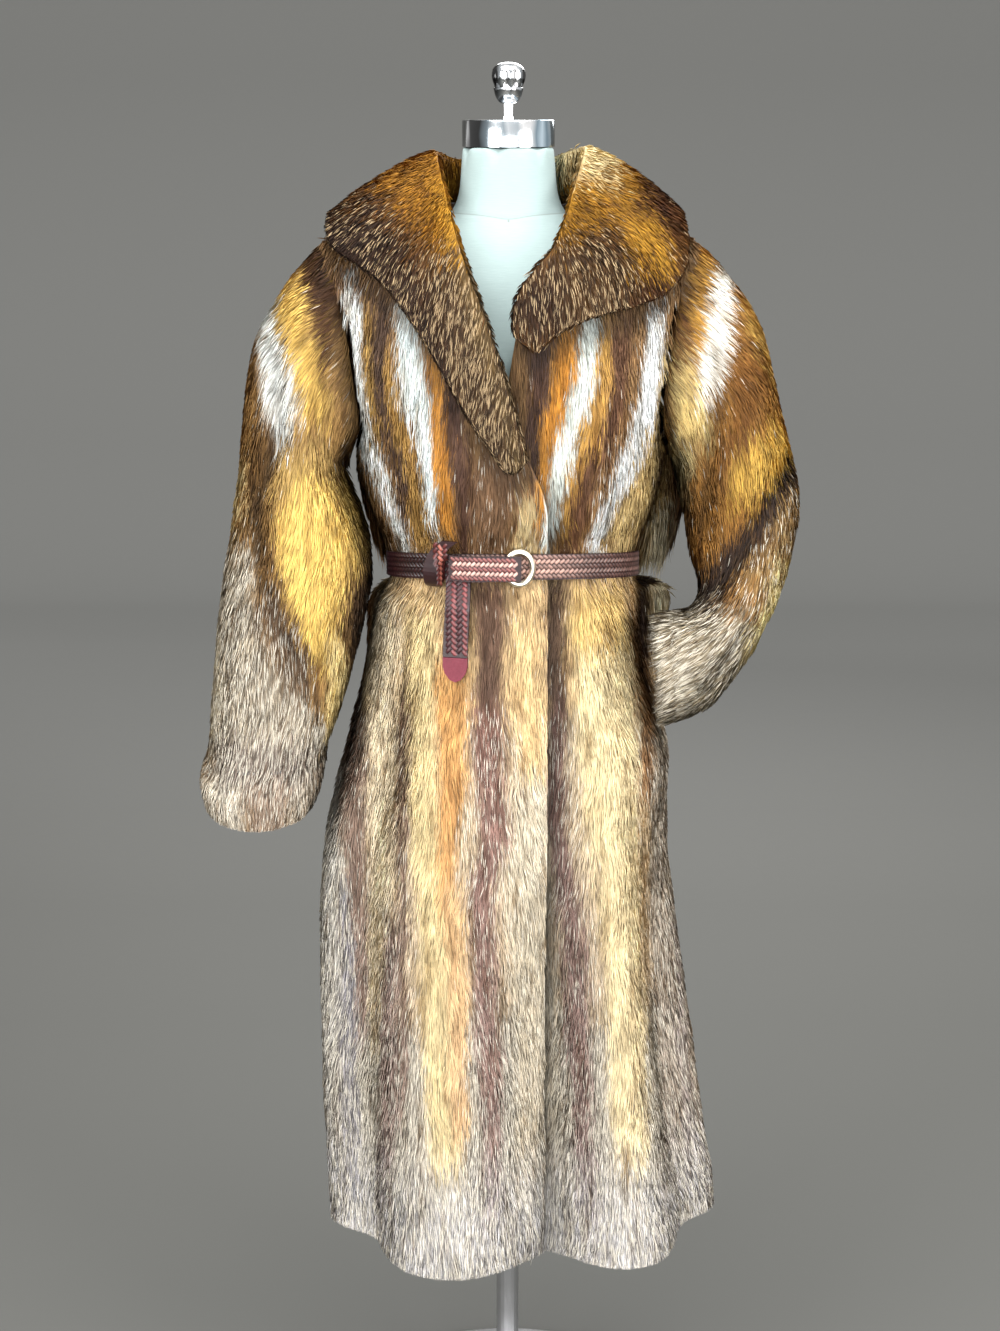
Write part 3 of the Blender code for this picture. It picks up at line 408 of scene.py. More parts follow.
def studio():
    """A grey paper sweep, soft boxes in front, above and behind, and a little light from all round."""
    paper = Finish("grey_paper", tone(101, 101, 97), Roughness=0.95, Specular_IOR_Level=0.1)
    grain = paper.speckle(paper.place(), 35.0, 3.0)
    graded = [(share / 1000, tone(grey, grey, grey - 3)) for share, grey in PAPER_TONES]
    paper.feed(Base_Color=paper.ramp(paper.axes()[1] / PAPER_DEPTH + grain * 0.01, *graded))
    turns = [math.pi / 2 * k / PAPER_STEPS for k in range(PAPER_STEPS + 1)]
    bend = [
        (PAPER_BEND + PAPER_RADIUS * math.sin(turn), PAPER_RADIUS * (1 - math.cos(turn))) for turn in turns
    ]
    line = [(PAPER_FRONT, 0.0), *bend, (PAPER_BEND + PAPER_RADIUS, PAPER_TOP)]
    places = [(x, y, z) for y, z in line for x in (-PAPER_SIDE, PAPER_SIDE)]
    faces = [(2 * k, 2 * k + 1, 2 * k + 3, 2 * k + 2) for k in range(len(line) - 1)]
    mesh = new_mesh("paper_sweep", places, faces)
    mesh.materials.append(paper.material)
    mesh.shade_smooth()
    sweep = bpy.data.objects.new("paper_sweep", mesh)
    sweep.location.z = -PAPER_DROP
    bpy.context.scene.collection.objects.link(sweep)
    soft_box("front_left_box", (-1.9, -2.6, 2.1), (0, 0, 0.95), (1.6, 2.2), 100)
    soft_box("front_right_box", (2.1, -2.3, 1.8), (0, 0, 0.95), (1.5, 2.2), 100)
    soft_box("front_box", (0.1, -3.4, 1.5), (0, 0, 0.9), (2.2, 2.2), 75)
    soft_box("top_box", (0.0, -0.6, 3.4), (0, 0, 1.0), (2.4, 1.6), 86)
    soft_box("back_box", (0.6, 2.6, 2.7), (0, 0, 1.0), (2.0, 1.4), 80)
    world = bpy.data.worlds.new("room")
    bpy.context.scene.world = world
    world.use_nodes = True
    world.node_tree.nodes["Background"].inputs["Color"].default_value = (1, 1, 1, 1)
    world.node_tree.nodes["Background"].inputs["Strength"].default_value = 0.80
    bpy.context.scene.view_settings.view_transform = "Standard"


# ---------------------------------------------------------------- the pelts' colours


def comb(name, points, normals):
    """The way that the pile lies: down the body, down the arms, and out from the neck on the collar."""
    if "sleeve" in name or "cuff" in name:
        arm = LEFT_ARM if name.startswith("left") else RIGHT_ARM
        _, reach = arm_at(points, arm)
        lengths = np.concatenate([[0], np.cumsum(np.linalg.norm(np.diff(arm, axis=0), axis=1))])
        above, below = (
            np.stack([np.interp(reach + way, lengths, arm[:, k]) for k in range(3)], axis=1)
            for way in (-0.05, 0.05)
        )
        down = below - above
    elif "collar" in name:
        down = points - np.array((0.0, 0.03, 1.66))
    else:
        down = np.zeros_like(points)
        down[:, 2] = -1.0
        high = step(points[:, 2], 1.36, 1.52)
        down[:, 1] += high * np.sign(points[:, 1]) * 0.8
        down[:, 0] += high * np.sign(points[:, 0]) * 0.4
    down = unit(down)
    return unit(down - dots(down, normals) * normals)


# Each stripe of a pelt: its colour, its grizzle, and how far it reaches from one side to the other at some
# heights. The heights and reaches are in centimetres, seen from the front.
BODY_STRIPES = [
    ((206, 176, 128), 0.20, (116, -30, 30), (96, -30, 30)),
    ((204, 184, 152), 0.35, (96, -30, 30), (60, -30, 30)),
    ((204, 196, 178), 0.55, (60, -30, 30), (20, -30, 30)),
    ((246, 224, 172), 0.15, (109, -22, -15.6), (97, -22, -16.2)),
    ((204, 200, 190), 0.50, (94, -24, -19.2), (64, -24, -19.6), (30, -26, -20.2)),
    ((118, 90, 66), 0.30, (99, -17.2, -16.4), (93, -19, -16.6), (80, -19.3, -16.6), (64, -18.2, -16.3),
     (56, -17.8, -16.4)),
    ((140, 142, 150), 0.60, (75, -19.8, -18.6), (64, -20, -18), (50, -20, -17.6), (36, -19.6, -17.5)),
    ((236, 220, 188), 0.20, (109, -15.6, -11.6), (98, -15.8, -12.6), (86, -15.9, -12.7), (75, -15.8, -12.8),
     (64, -16, -14.4), (56, -16, -15)),
    ((128, 102, 86), 0.40, (72, -13.6, -12.2), (64, -14.2, -12.4), (50, -14.8, -12.8), (40, -15.6, -13.4),
     (34, -15.6, -14)),
    ((112, 82, 52), 0.25, (106, -11.6, -11.1), (98, -12.0, -11.2), (86, -12.2, -11.4), (70, -12.3, -11.6),
     (50, -12.5, -11.7)),
    ((228, 208, 156), 0.10, (108, -11.5, -8), (98, -11, -8.4), (86, -11, -7.8), (64, -10, -6),
     (50, -9.6, -5.2), (43, -9, -5.5)),
    ((220, 168, 98), 0.10, (103, -8.2, -5), (98, -8.1, -4.8), (90, -8, -4.8), (84, -8, -5.9),
     (74, -7.9, -6.4)),
    ((222, 184, 130), 0.15, (78, -7.4, -5), (60, -7, -4.8), (48, -6.8, -4.6)),
    ((96, 64, 38), 0.15, (113, -4.6, -0.2), (105, -3.6, -0.2), (98, -3.8, -0.9), (94, -3.4, -1.4)),
    ((126, 84, 68), 0.35, (98, -4.3, -0.7), (90, -4.1, -0.9), (84, -3.2, 0.3), (78, -4.3, -1.6),
     (64, -4.4, -1.6), (50, -3, -1), (36, -2.9, -1.2)),
    ((236, 206, 152), 0.10, (107, 0.4, 3.2), (96, 0.8, 3.8), (90, 1.4, 4.4)),
    ((216, 204, 178), 0.35, (90, 0.9, 4.4), (78, -0.4, 4.4), (64, 0.2, 5.4), (50, 0.4, 6.6), (36, 0.4, 6.6)),
    ((100, 70, 40), 0.20, (112, 4.4, 7), (105, 4.4, 6.6), (98, 4.4, 6.6)),
    ((112, 74, 60), 0.35, (98, 4.5, 6.3), (92, 4.8, 6.6), (86, 4.3, 6.9), (79, 5.4, 8), (71, 6.6, 9.1),
     (64, 6.8, 9.6), (57, 7, 9.8), (50, 8, 10), (42, 8.1, 10.4), (34, 8.3, 11)),
    ((222, 190, 120), 0.10, (111, 7.4, 12.4), (104, 7.2, 13.3)),
    ((232, 214, 168), 0.10, (104, 7.6, 13.4), (92, 8.2, 14.4), (86, 9, 14.8), (79, 10, 15), (64, 11.4, 15.4),
     (50, 12.2, 16), (43, 13, 16.4)),
    ((166, 120, 60), 0.15, (108, 13.2, 14.8), (98, 14.4, 16.2), (92, 15, 16.3), (86, 15.2, 16.2)),
    ((216, 190, 148), 0.20, (86, 14.9, 16.4), (64, 15.4, 16.8)),
    ((86, 62, 44), 0.20, (112, 14.6, 18), (104, 14.8, 18), (99, 16, 18.4)),
    ((186, 172, 152), 0.45, (94, 16.3, 26), (79, 16.4, 26), (64, 17, 28), (50, 17.6, 28), (36, 17.6, 28)),
    ((154, 142, 132), 0.50, (70, 19.4, 20.6), (50, 20.4, 21.6), (36, 21.4, 22.8)),
    ((150, 112, 62), 0.20, (160, -30, 30), (114, -30, 30)),
    # painted shadow: the dark patch under the collar's edge, high on the wearer's right chest
    ((96, 66, 36), 0.20, (146, -24, -12), (140, -24, -20.5), (136, -24, -21)),
    ((158, 120, 64), 0.20, (143, -20, -18.4), (128, -19.4, -17.4), (120, -17, -14)),
    ((250, 254, 250), 0.02, (144.5, -18.2, -16.6), (137.8, -18.3, -16.1), (133.4, -18.2, -16.1),
     (128.9, -17.6, -15.5), (124.5, -15.7, -13.8), (120, -13.9, -12.3), (115, -12.6, -11)),
    ((166, 130, 60), 0.10, (143, -16.4, -15.2), (137.8, -16.0, -15), (133.4, -16.0, -15),
     (128.9, -15.3, -14.2)),
    ((70, 44, 20), 0.10, (144, -15, -12.6), (137.8, -15, -13.6), (133.4, -14.8, -13.8), (128.9, -14.2, -13),
     (124.5, -12.8, -11.2), (119, -12, -11.2)),
    ((178, 138, 66), 0.10, (137.8, -13.4, -12.4), (133.4, -13.6, -12.2), (128.9, -12.8, -11),
     (124.5, -11.2, -9.6), (116, -10.8, -8.6)),
    ((238, 248, 246), 0.26, (143, -12.6, -10.6), (137.8, -12, -9.6), (133.4, -12, -8.7), (128.9, -10, -8.4),
     (124.5, -9.6, -8.2), (119, -8.9, -7.9)),
    ((208, 144, 50), 0.05, (137, -8.6, -7.2), (133.4, -8.5, -7.1), (128.9, -8.3, -6.9), (124.5, -8, -6.2),
     (118, -7.6, -6.2)),
    ((80, 46, 22), 0.15, (136, -7, -5.4), (128.9, -6.8, -4.4), (124.5, -5.9, -3.4), (120, -5.8, -4.2),
     (114.5, -6.6, -4.6)),
    ((124, 90, 56), 0.25, (128, -3.8, 2), (120, -4.2, 0.4), (115, -4.4, -1)),
    ((222, 200, 150), 0.20, (122, 0.8, 2.8), (118, 0.8, 2.6), (115, 0, 3.2)),
    ((76, 44, 22), 0.15, (146, 1.5, 5.2), (137.8, 2, 4.8), (133.4, 2.2, 4.6), (128.9, 2.0, 3.4),
     (124, 2.6, 3.4)),
    ((208, 142, 40), 0.05, (141, 5.2, 7.6), (137.8, 5.2, 7.4), (133.4, 4.7, 6.6), (128.9, 3.6, 5.4),
     (124.5, 3.4, 4.9), (119, 3.0, 4.0)),
    ((240, 248, 240), 0.26, (143, 8, 10.2), (137.8, 7.6, 9.6), (133.4, 6.8, 9), (128.9, 5.6, 7.6),
     (124.5, 4.8, 6.5), (120, 3.8, 5.4), (115.5, 3.4, 4.6)),
    ((196, 150, 68), 0.10, (141, 10, 11.4), (137.8, 10, 11.4), (133.4, 9.2, 10.8), (128.9, 8, 10.4),
     (124.5, 6.8, 8), (118, 5.8, 6.8)),
    ((104, 64, 28), 0.15, (142, 11.4, 13.8), (137.8, 11.5, 13.4), (133.4, 11, 12.8), (128.9, 10.4, 12),
     (124.5, 7.8, 9.8), (120, 7, 8.8), (115, 6, 7.6)),
    ((250, 254, 252), 0.02, (142.5, 15.4, 17.2), (137.8, 15.1, 17.2), (133.4, 14.5, 16.9),
     (128.9, 13.4, 15.9), (124.5, 11.5, 14), (120, 9.9, 12), (115, 8.9, 10.7)),
    ((208, 182, 124), 0.15, (137.8, 17.3, 18.2), (133.4, 17.1, 18.8), (128.9, 16.2, 18.8),
     (124.5, 14.4, 17.6), (120, 12.4, 17), (115, 11, 14.6)),
    ((132, 98, 50), 0.15, (140, 18.2, 22), (133, 19, 20.6), (127, 16.9, 17.9), (119, 17, 18)),
]
GATHERS = [  # the fullness behind the arms, seen past the fronts
    ((206, 174, 112), 0.15, (130, 16.2, 30), (116, 16.6, 30), (98, 16.8, 30)),
    ((150, 104, 52), 0.15, (130, 18.6, 30), (118, 19.4, 30)),
    ((240, 228, 194), 0.10, (118, 17.2, 20.2), (98, 17.4, 20.2)),
    # painted shade: the dark side of the body beyond the cream fold, next to the wearer's left arm
    ((92, 64, 38), 0.15, (118, 20.3, 30), (98, 20.4, 30)),
    ((172, 124, 74), 0.15, (128, -30, -15.6), (98, -30, -16.0)),
    # painted shade: the body's side next to the wearer's right arm
    ((110, 76, 44), 0.15, (128, -30, -17.4), (98, -30, -17.8)),
]
ARM_STRIPES = [
    ((158, 122, 72), 0.20, (160, -40, 0), (70, -40, 0)),
    ((150, 106, 48), 0.20, (160, 0, 40), (70, 0, 40)),
    # painted shadow: the collar's shadow on the top of the wearer's right sleeve
    ((74, 46, 22), 0.15, (150, -23, -16), (144.5, -22, -18.6), (141.8, -20.9, -18.6), (136, -20.9, -19.4)),
    ((214, 178, 94), 0.05, (146, -25.4, -22.4), (141.8, -25.7, -21.6), (137.2, -24.4, -21.0),
     (131, -23.0, -19.4)),
    ((250, 252, 246), 0.02, (148, -26.4, -24.6), (141.8, -27.6, -25.8), (137.2, -27.8, -24.6),
     (132.6, -28, -23.4), (128.4, -26.5, -24.2)),
    ((148, 112, 62), 0.20, (141, -31, -27.8), (132.6, -31, -28), (128, -31, -27.4), (123.5, -28.8, -27.4)),
    ((212, 192, 142), 0.20, (125, -33, -29.6), (118, -34, -31)),
    ((112, 82, 44), 0.20, (130, -28.6, -26.2), (120, -30, -27.8), (113, -29, -26.6)),
    ((186, 154, 92), 0.15, (128, -25.6, -20.4), (122, -27, -20)),
    ((242, 206, 116), 0.05, (123, -24, -19), (118.9, -26.5, -17.8), (114.3, -25.7, -17.2),
     (110, -24.8, -18.8), (106, -23.8, -20.2), (102.5, -22.4, -21)),
    # painted shade: where the wearer's right sleeve meets the body
    ((84, 58, 32), 0.20, (122, -17.2, -14), (114, -16.8, -14), (108.3, -19.0, -14), (103, -18.4, -14)),
    ((182, 168, 146), 0.60, (115, -36, -29), (108, -36, -29), (102, -36, -26.2), (96, -36, -21.8),
     (90, -36, -16)),
    ((108, 84, 60), 0.40, (112, -27.6, -26), (108.3, -29, -25.4), (102.3, -26.2, -22.6), (98.5, -25.2, -23)),
    ((240, 216, 152), 0.10, (105, -21.2, -19.6), (100, -21, -18.4), (95, -21, -17.6), (89, -21.4, -18)),
    ((158, 144, 132), 0.65, (93, -33.5, -23), (90, -34, -22.5), (87, -34, -23)),
    ((224, 214, 192), 0.40, (106, -36, -32.8), (95, -36, -33.0)),
    ((226, 216, 198), 0.35, (88, -40, -30.6), (78, -40, -31)),
    ((164, 142, 122), 0.45, (88, -30.2, -25.6), (78, -30.4, -26)),
    ((198, 184, 164), 0.40, (88, -25.6, -18), (78, -26, -18)),
    ((104, 66, 28), 0.15, (150, 17, 20.8), (144, 15, 19.4), (139, 17, 20.2)),
    ((184, 138, 58), 0.10, (150, 20.8, 22.6), (145, 19.6, 21.8), (139.4, 20, 21.8)),
    ((252, 250, 240), 0.02, (147, 22.6, 25), (144, 21.8, 24.4), (139.4, 21.6, 24.1), (134.9, 20.5, 23.7),
     (131.6, 20.6, 22)),
    ((224, 198, 132), 0.10, (136, 18.6, 20.6), (133, 18, 20.6), (129, 18.6, 23.4)),
    ((200, 162, 82), 0.10, (147, 25, 30), (139.4, 26.8, 32), (134.9, 29.2, 34)),
    ((118, 76, 26), 0.15, (138, 24.8, 28), (134.9, 24.3, 28.9), (130.3, 25, 28), (126.5, 24, 26)),
    ((208, 168, 78), 0.05, (129, 28.6, 35), (125.7, 26, 35), (122, 24.6, 28.4)),
    ((208, 190, 138), 0.20, (127, 15, 21), (121.2, 15, 20.6), (113, 15, 20)),
    ((150, 120, 76), 0.35, (123, 31, 35), (116.6, 29, 35), (112, 26.4, 35)),
    # painted shade: along the crease of the wearer's left elbow
    ((60, 40, 26), 0.20, (125, 31.6, 34), (121.2, 29, 31.4), (116.6, 25.6, 28.9), (111.9, 21.4, 26.6),
     (108, 15, 23)),
    ((164, 150, 124), 0.60, (109, 19, 30), (106, 14, 30), (98, 10, 30), (88, 10, 30)),
    ((236, 220, 168), 0.15, (113, 30.2, 33), (107.1, 28, 32), (103, 27, 30)),
    # painted shadow: the wearer's left upper arm under the forearm
    ((70, 62, 50), 0.30, (114, 14, 20.6), (109, 14, 20)),
]
COLLAR_STRIPES = [
    ((128, 92, 44), 0.30, (170, -40, 40), (100, -40, 40)),
    ((170, 128, 42), 0.10, (166, -14, -3), (156.2, -16, -5), (153.4, -11.6, -4.6), (150.6, -8.6, -4.4),
     (146, -6.4, -4.6)),
    ((208, 168, 70), 0.05, (155, -8.6, -5), (152, -7.2, -4.6), (148, -6.0, -4.8)),
    ((84, 60, 42), 0.50, (153, -24, -14.4), (150, -24, -11.4), (147.9, -24, -9.8), (145.1, -24, -9),
     (142.3, -18, -8), (136, -14, -6.2), (128, -9, -4.4)),
    # painted shade: the dark underside of the collar's lower edge on the wearer's right
    ((48, 28, 14), 0.20, (148.4, -24, -16), (144, -20, -15.6)),
    ((118, 94, 68), 0.70, (148, -9, -5.6), (142.3, -8, -2), (137.8, -6.6, 0), (133.4, -5.4, 1),
     (128.9, -4.6, 2), (120, -3, 4)),
    ((164, 144, 106), 0.60, (147, -5.6, -4.0), (142.3, -4.6, -2.4), (136, -2.4, -0.8), (131, -1.0, 0.4),
     (124, 0.8, 2.2)),
    ((174, 136, 46), 0.10, (166, 3, 18), (156, 5, 16), (153.4, 4.6, 13), (150.6, 4.6, 8)),
    ((88, 54, 20), 0.15, (156, 14, 18.4), (153.4, 13.8, 18.4), (151.6, 15.4, 20)),
    ((204, 166, 70), 0.05, (152, 12, 15.4), (150.6, 12.4, 16.4), (147, 14, 18.6)),
    ((118, 90, 54), 0.55, (149.6, 1, 12.4), (145.1, -1, 14), (140, -1, 14)),
    ((84, 58, 36), 0.45, (146, 2, 6), (143, 1, 5), (141, 1, 8)),
    ((92, 60, 32), 0.30, (145.6, 13.4, 20), (142, 12.4, 20), (138, 11, 20)),
    ((255, 255, 255), 0.12, (166, 4.0, 15.0), (159.6, 4.4, 14.0), (156.8, 5.6, 11.4)),
]


COLLAR_TINT = (0.54, 0.44, 0.31)   # the collar's grizzled pelts are deeper and warmer than the body's
PLAIN_TINT = (0.74, 0.60, 0.32)    # and its plain golden ones a little less so
NAPE_SHADE = ((120, 140, 146), 0.20, (158.5, 4.6, 6.6), (153.5, 4.4, 6.0))   # inside it, beside the neck


def painted(stripes, x, z):
    """The colour and grizzle of laid stripes at places seen from the front, in centimetres."""
    colour = np.zeros((len(x), 3))
    grizzle = np.zeros(len(x))
    for shade, flecks, *rows in stripes:
        heights = [row[0] for row in rows][::-1]
        low = np.interp(z, heights, [row[1] for row in rows][::-1])
        high = np.interp(z, heights, [row[2] for row in rows][::-1])
        feather = np.clip((high - low) * 0.25, 0.25, 0.9)
        share = step(x, low - feather, low + feather) * (1 - step(x, high - feather, high + feather))
        share *= step(z, heights[0] - 2.0, heights[0] + 1.0)
        share *= 1 - step(z, heights[-1] - 1.0, heights[-1] + 2.0)
        colour += share[:, None] * (np.array(tone(*shade)) - colour)
        grizzle += share * (flecks - grizzle)
    return colour, grizzle


def chart(name, points, rng):
    """Colour and grizzle at places on the coat, the stripes' edges broken as hair breaks them."""
    fine = cloudy(points, (170, 170, 16), 5.3)
    drift = 0.35 * cloudy(points, (25, 25, 8), 3.1) + 0.45 * fine
    x = points[:, 0] * 100 + drift + 0.24 * rng.standard_normal(len(points))
    z = points[:, 2] * 100 + 1.2 * cloudy(points, (30, 30, 10), 8.7) + 1.2 * rng.standard_normal(len(points))
    colour, grizzle = laid_out(name, x, z)
    streak, thread = cloudy(points, (120, 120, 11), 1.7), cloudy(points, (330, 330, 26), 9.4)
    darker = np.clip(np.clip(streak, 0, 1) + 0.8 * np.clip(thread, 0, 1), 0, 0.9)[:, None] * (0.80, 0.90, 1.0)
    return colour * (1.08 - 0.84 * darker), grizzle


def laid_out(name, x, z):
    """Colour and grizzle of a panel's pelts at places seen from the front, in centimetres."""
    if "collar" in name:
        colour, grizzle = painted([*COLLAR_STRIPES, NAPE_SHADE], x, z)
        plain = (1 - step(grizzle, 0.15, 0.45))[:, None]
        return colour * (np.array(COLLAR_TINT) + plain * (np.array(PLAIN_TINT) - COLLAR_TINT)), grizzle
    if "sleeve" in name or "cuff" in name:
        return painted(ARM_STRIPES, x, z)
    colour, grizzle = painted(BODY_STRIPES + GATHERS * (name == "back"), x, z)
    # painted light: the body is lightened more the lower it lies and the darker its colour, standing in for
    # the light that falls on the skirt
    painted_skirt_light = np.interp(z, [30, 60, 95, 115], [0.34, 0.24, 0.08, 0.04])[:, None]
    painted_skirt_light = painted_skirt_light * np.clip(1.25 - 1.6 * colour.mean(axis=1, keepdims=True), 0.1, 1.0)
    colour += painted_skirt_light * (np.array(tone(246, 226, 218)) - colour)
    frost = (0.75 * (1 - step(z, 34.0, 48.0)))[:, None]
    return colour + frost * (np.array(tone(232, 230, 232)) - colour), grizzle + frost[:, 0] * (0.7 - grizzle)


# ---------------------------------------------------------------- hides and pile

# Soft folds pressed into the arms: how deep, how wide, and (height, reach) places along each, in centimetres.
ARM_FOLDS = [
    (-0.75, 1.2, (143, -27.4), (136, -26.4), (128.5, -25.9), (120.5, -29.2), (114, -29.0)),
    (0.60, 3.2, (124, -22.5), (115.5, -21.8), (108, -21.8)),
    (-0.65, 1.1, (111.5, -28.6), (105, -25.4), (99, -22.2)),
    (0.95, 2.8, (128, -17.4), (118, -16.4), (110, -15.6), (102, -16.4)),
    (0.90, 2.6, (125, 19.4), (116, 20.2), (109, 20.8)),
    (0.35, 2.0, (142, -23.4), (133, -22.6), (127, -22.6)),
    (-0.70, 1.0, (143, 24.4), (135, 23.2), (126, 22.2), (118, 21.8)),
    (-0.80, 1.3, (124.5, 32.6), (121, 30.2), (116.6, 27.2), (112, 24.0), (108.5, 21.0)),
    (0.50, 2.2, (132, 28.6), (127, 29.4), (122, 26.4)),
    (-0.45, 0.9, (106, 27.0), (101, 24.4), (98, 21.4)),
    (0.30, 1.6, (112, 29.0), (106, 25.8), (103, 21.4)),
]


def pressed(name, places, normals):
    """How far the arms' folds move their skin, in metres, and how open the creases are to the light."""
    total, lit = np.zeros(len(places)), np.ones(len(places))
    if "sleeve" not in name:
        return total, lit
    x, z = places[:, 0] * 100, places[:, 2] * 100
    for depth, spread, *line in ARM_FOLDS:
        gap = np.full(len(places), np.inf)
        for (z0, x0), (z1, x1) in zip(line[:-1], line[1:]):
            ahead = np.array((x1 - x0, z1 - z0))
            off = np.stack([x - x0, z - z0], axis=1)
            share = np.clip(off @ ahead / (ahead @ ahead), 0, 1)
            gap = np.minimum(gap, np.linalg.norm(off - share[:, None] * ahead, axis=1))
        total += depth / 100 * np.exp(-((gap / spread) ** 2))
        if depth < 0:
            lit *= 1 + depth * np.exp(-((gap / spread * 1.8) ** 2))
    return total * np.sqrt(np.abs(normals[:, 1])), lit


def facing(places, triangles):
    """Smooth normals of a surface of triangles."""
    corners = [places[triangles[:, k]] for k in range(3)]
    flat = np.cross(corners[1] - corners[0], corners[2] - corners[0])
    total = np.zeros_like(places)
    for k in range(3):
        np.add.at(total, triangles[:, k], flat)
    return unit(total)


class Hide:
    """One panel of the coat: its skin, sunk under the pile, and where hairs can grow."""

    def __init__(self, name):
        self.name = name
        self.places, self.normals, self.triangles, self.faces = smoothed(name + "_base", skin(name), 2)
        press, self.creased = pressed(name, self.places, self.normals)
        self.places = self.places + self.normals * press[:, None]
        self.normals = facing(self.places, self.triangles)
        self.sunk = self.places - self.normals * (COLLAR_SINK if "collar" in name else SINK)

    def shade(self, tree):
        """How open each place is to the light: 1 on the flat, less in a fold or under something."""
        self.open = self.creased.copy()
        for reach in SHADE_REACHES:
            spots = (self.places + self.normals * reach).tolist()
            gaps = np.array([tree.find_nearest(spot)[3] for spot in spots])
            self.open *= np.clip(gaps / reach, 0, 1)
        least = LEAST_OPEN.get(self.name, 0.0)
        self.open = least + (1 - least) * self.open

    def lay(self, finishes):
        piece = show(self.name + "_hide", new_mesh(self.name + "_hide", self.sunk, self.faces), finishes)
        colour, _ = chart(self.name, self.sunk, np.random.default_rng(5))
        # painted shade: the hide darkened where folds and nearby parts leave it less open to the light
        colour = colour * (0.84 * (0.32 + 0.68 * self.open))[:, None]
        paint(piece.data, "pelt", colour)
        thin = piece.modifiers.new("thin", "DECIMATE")
        thin.ratio = HIDE_SHARE
        if "collar" not in self.name:
            wall = piece.modifiers.new("wall", "SOLIDIFY")
            wall.thickness = HIDE
            wall.offset = -1
            wall.material_offset = 1
            wall.material_offset_rim = 2
        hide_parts(self.name)
        return piece


def overshoot(tree, points):
    """How far past the coat's edges each point lies."""
    return np.array([tree.find_nearest(spot)[3] for spot in points.tolist()])


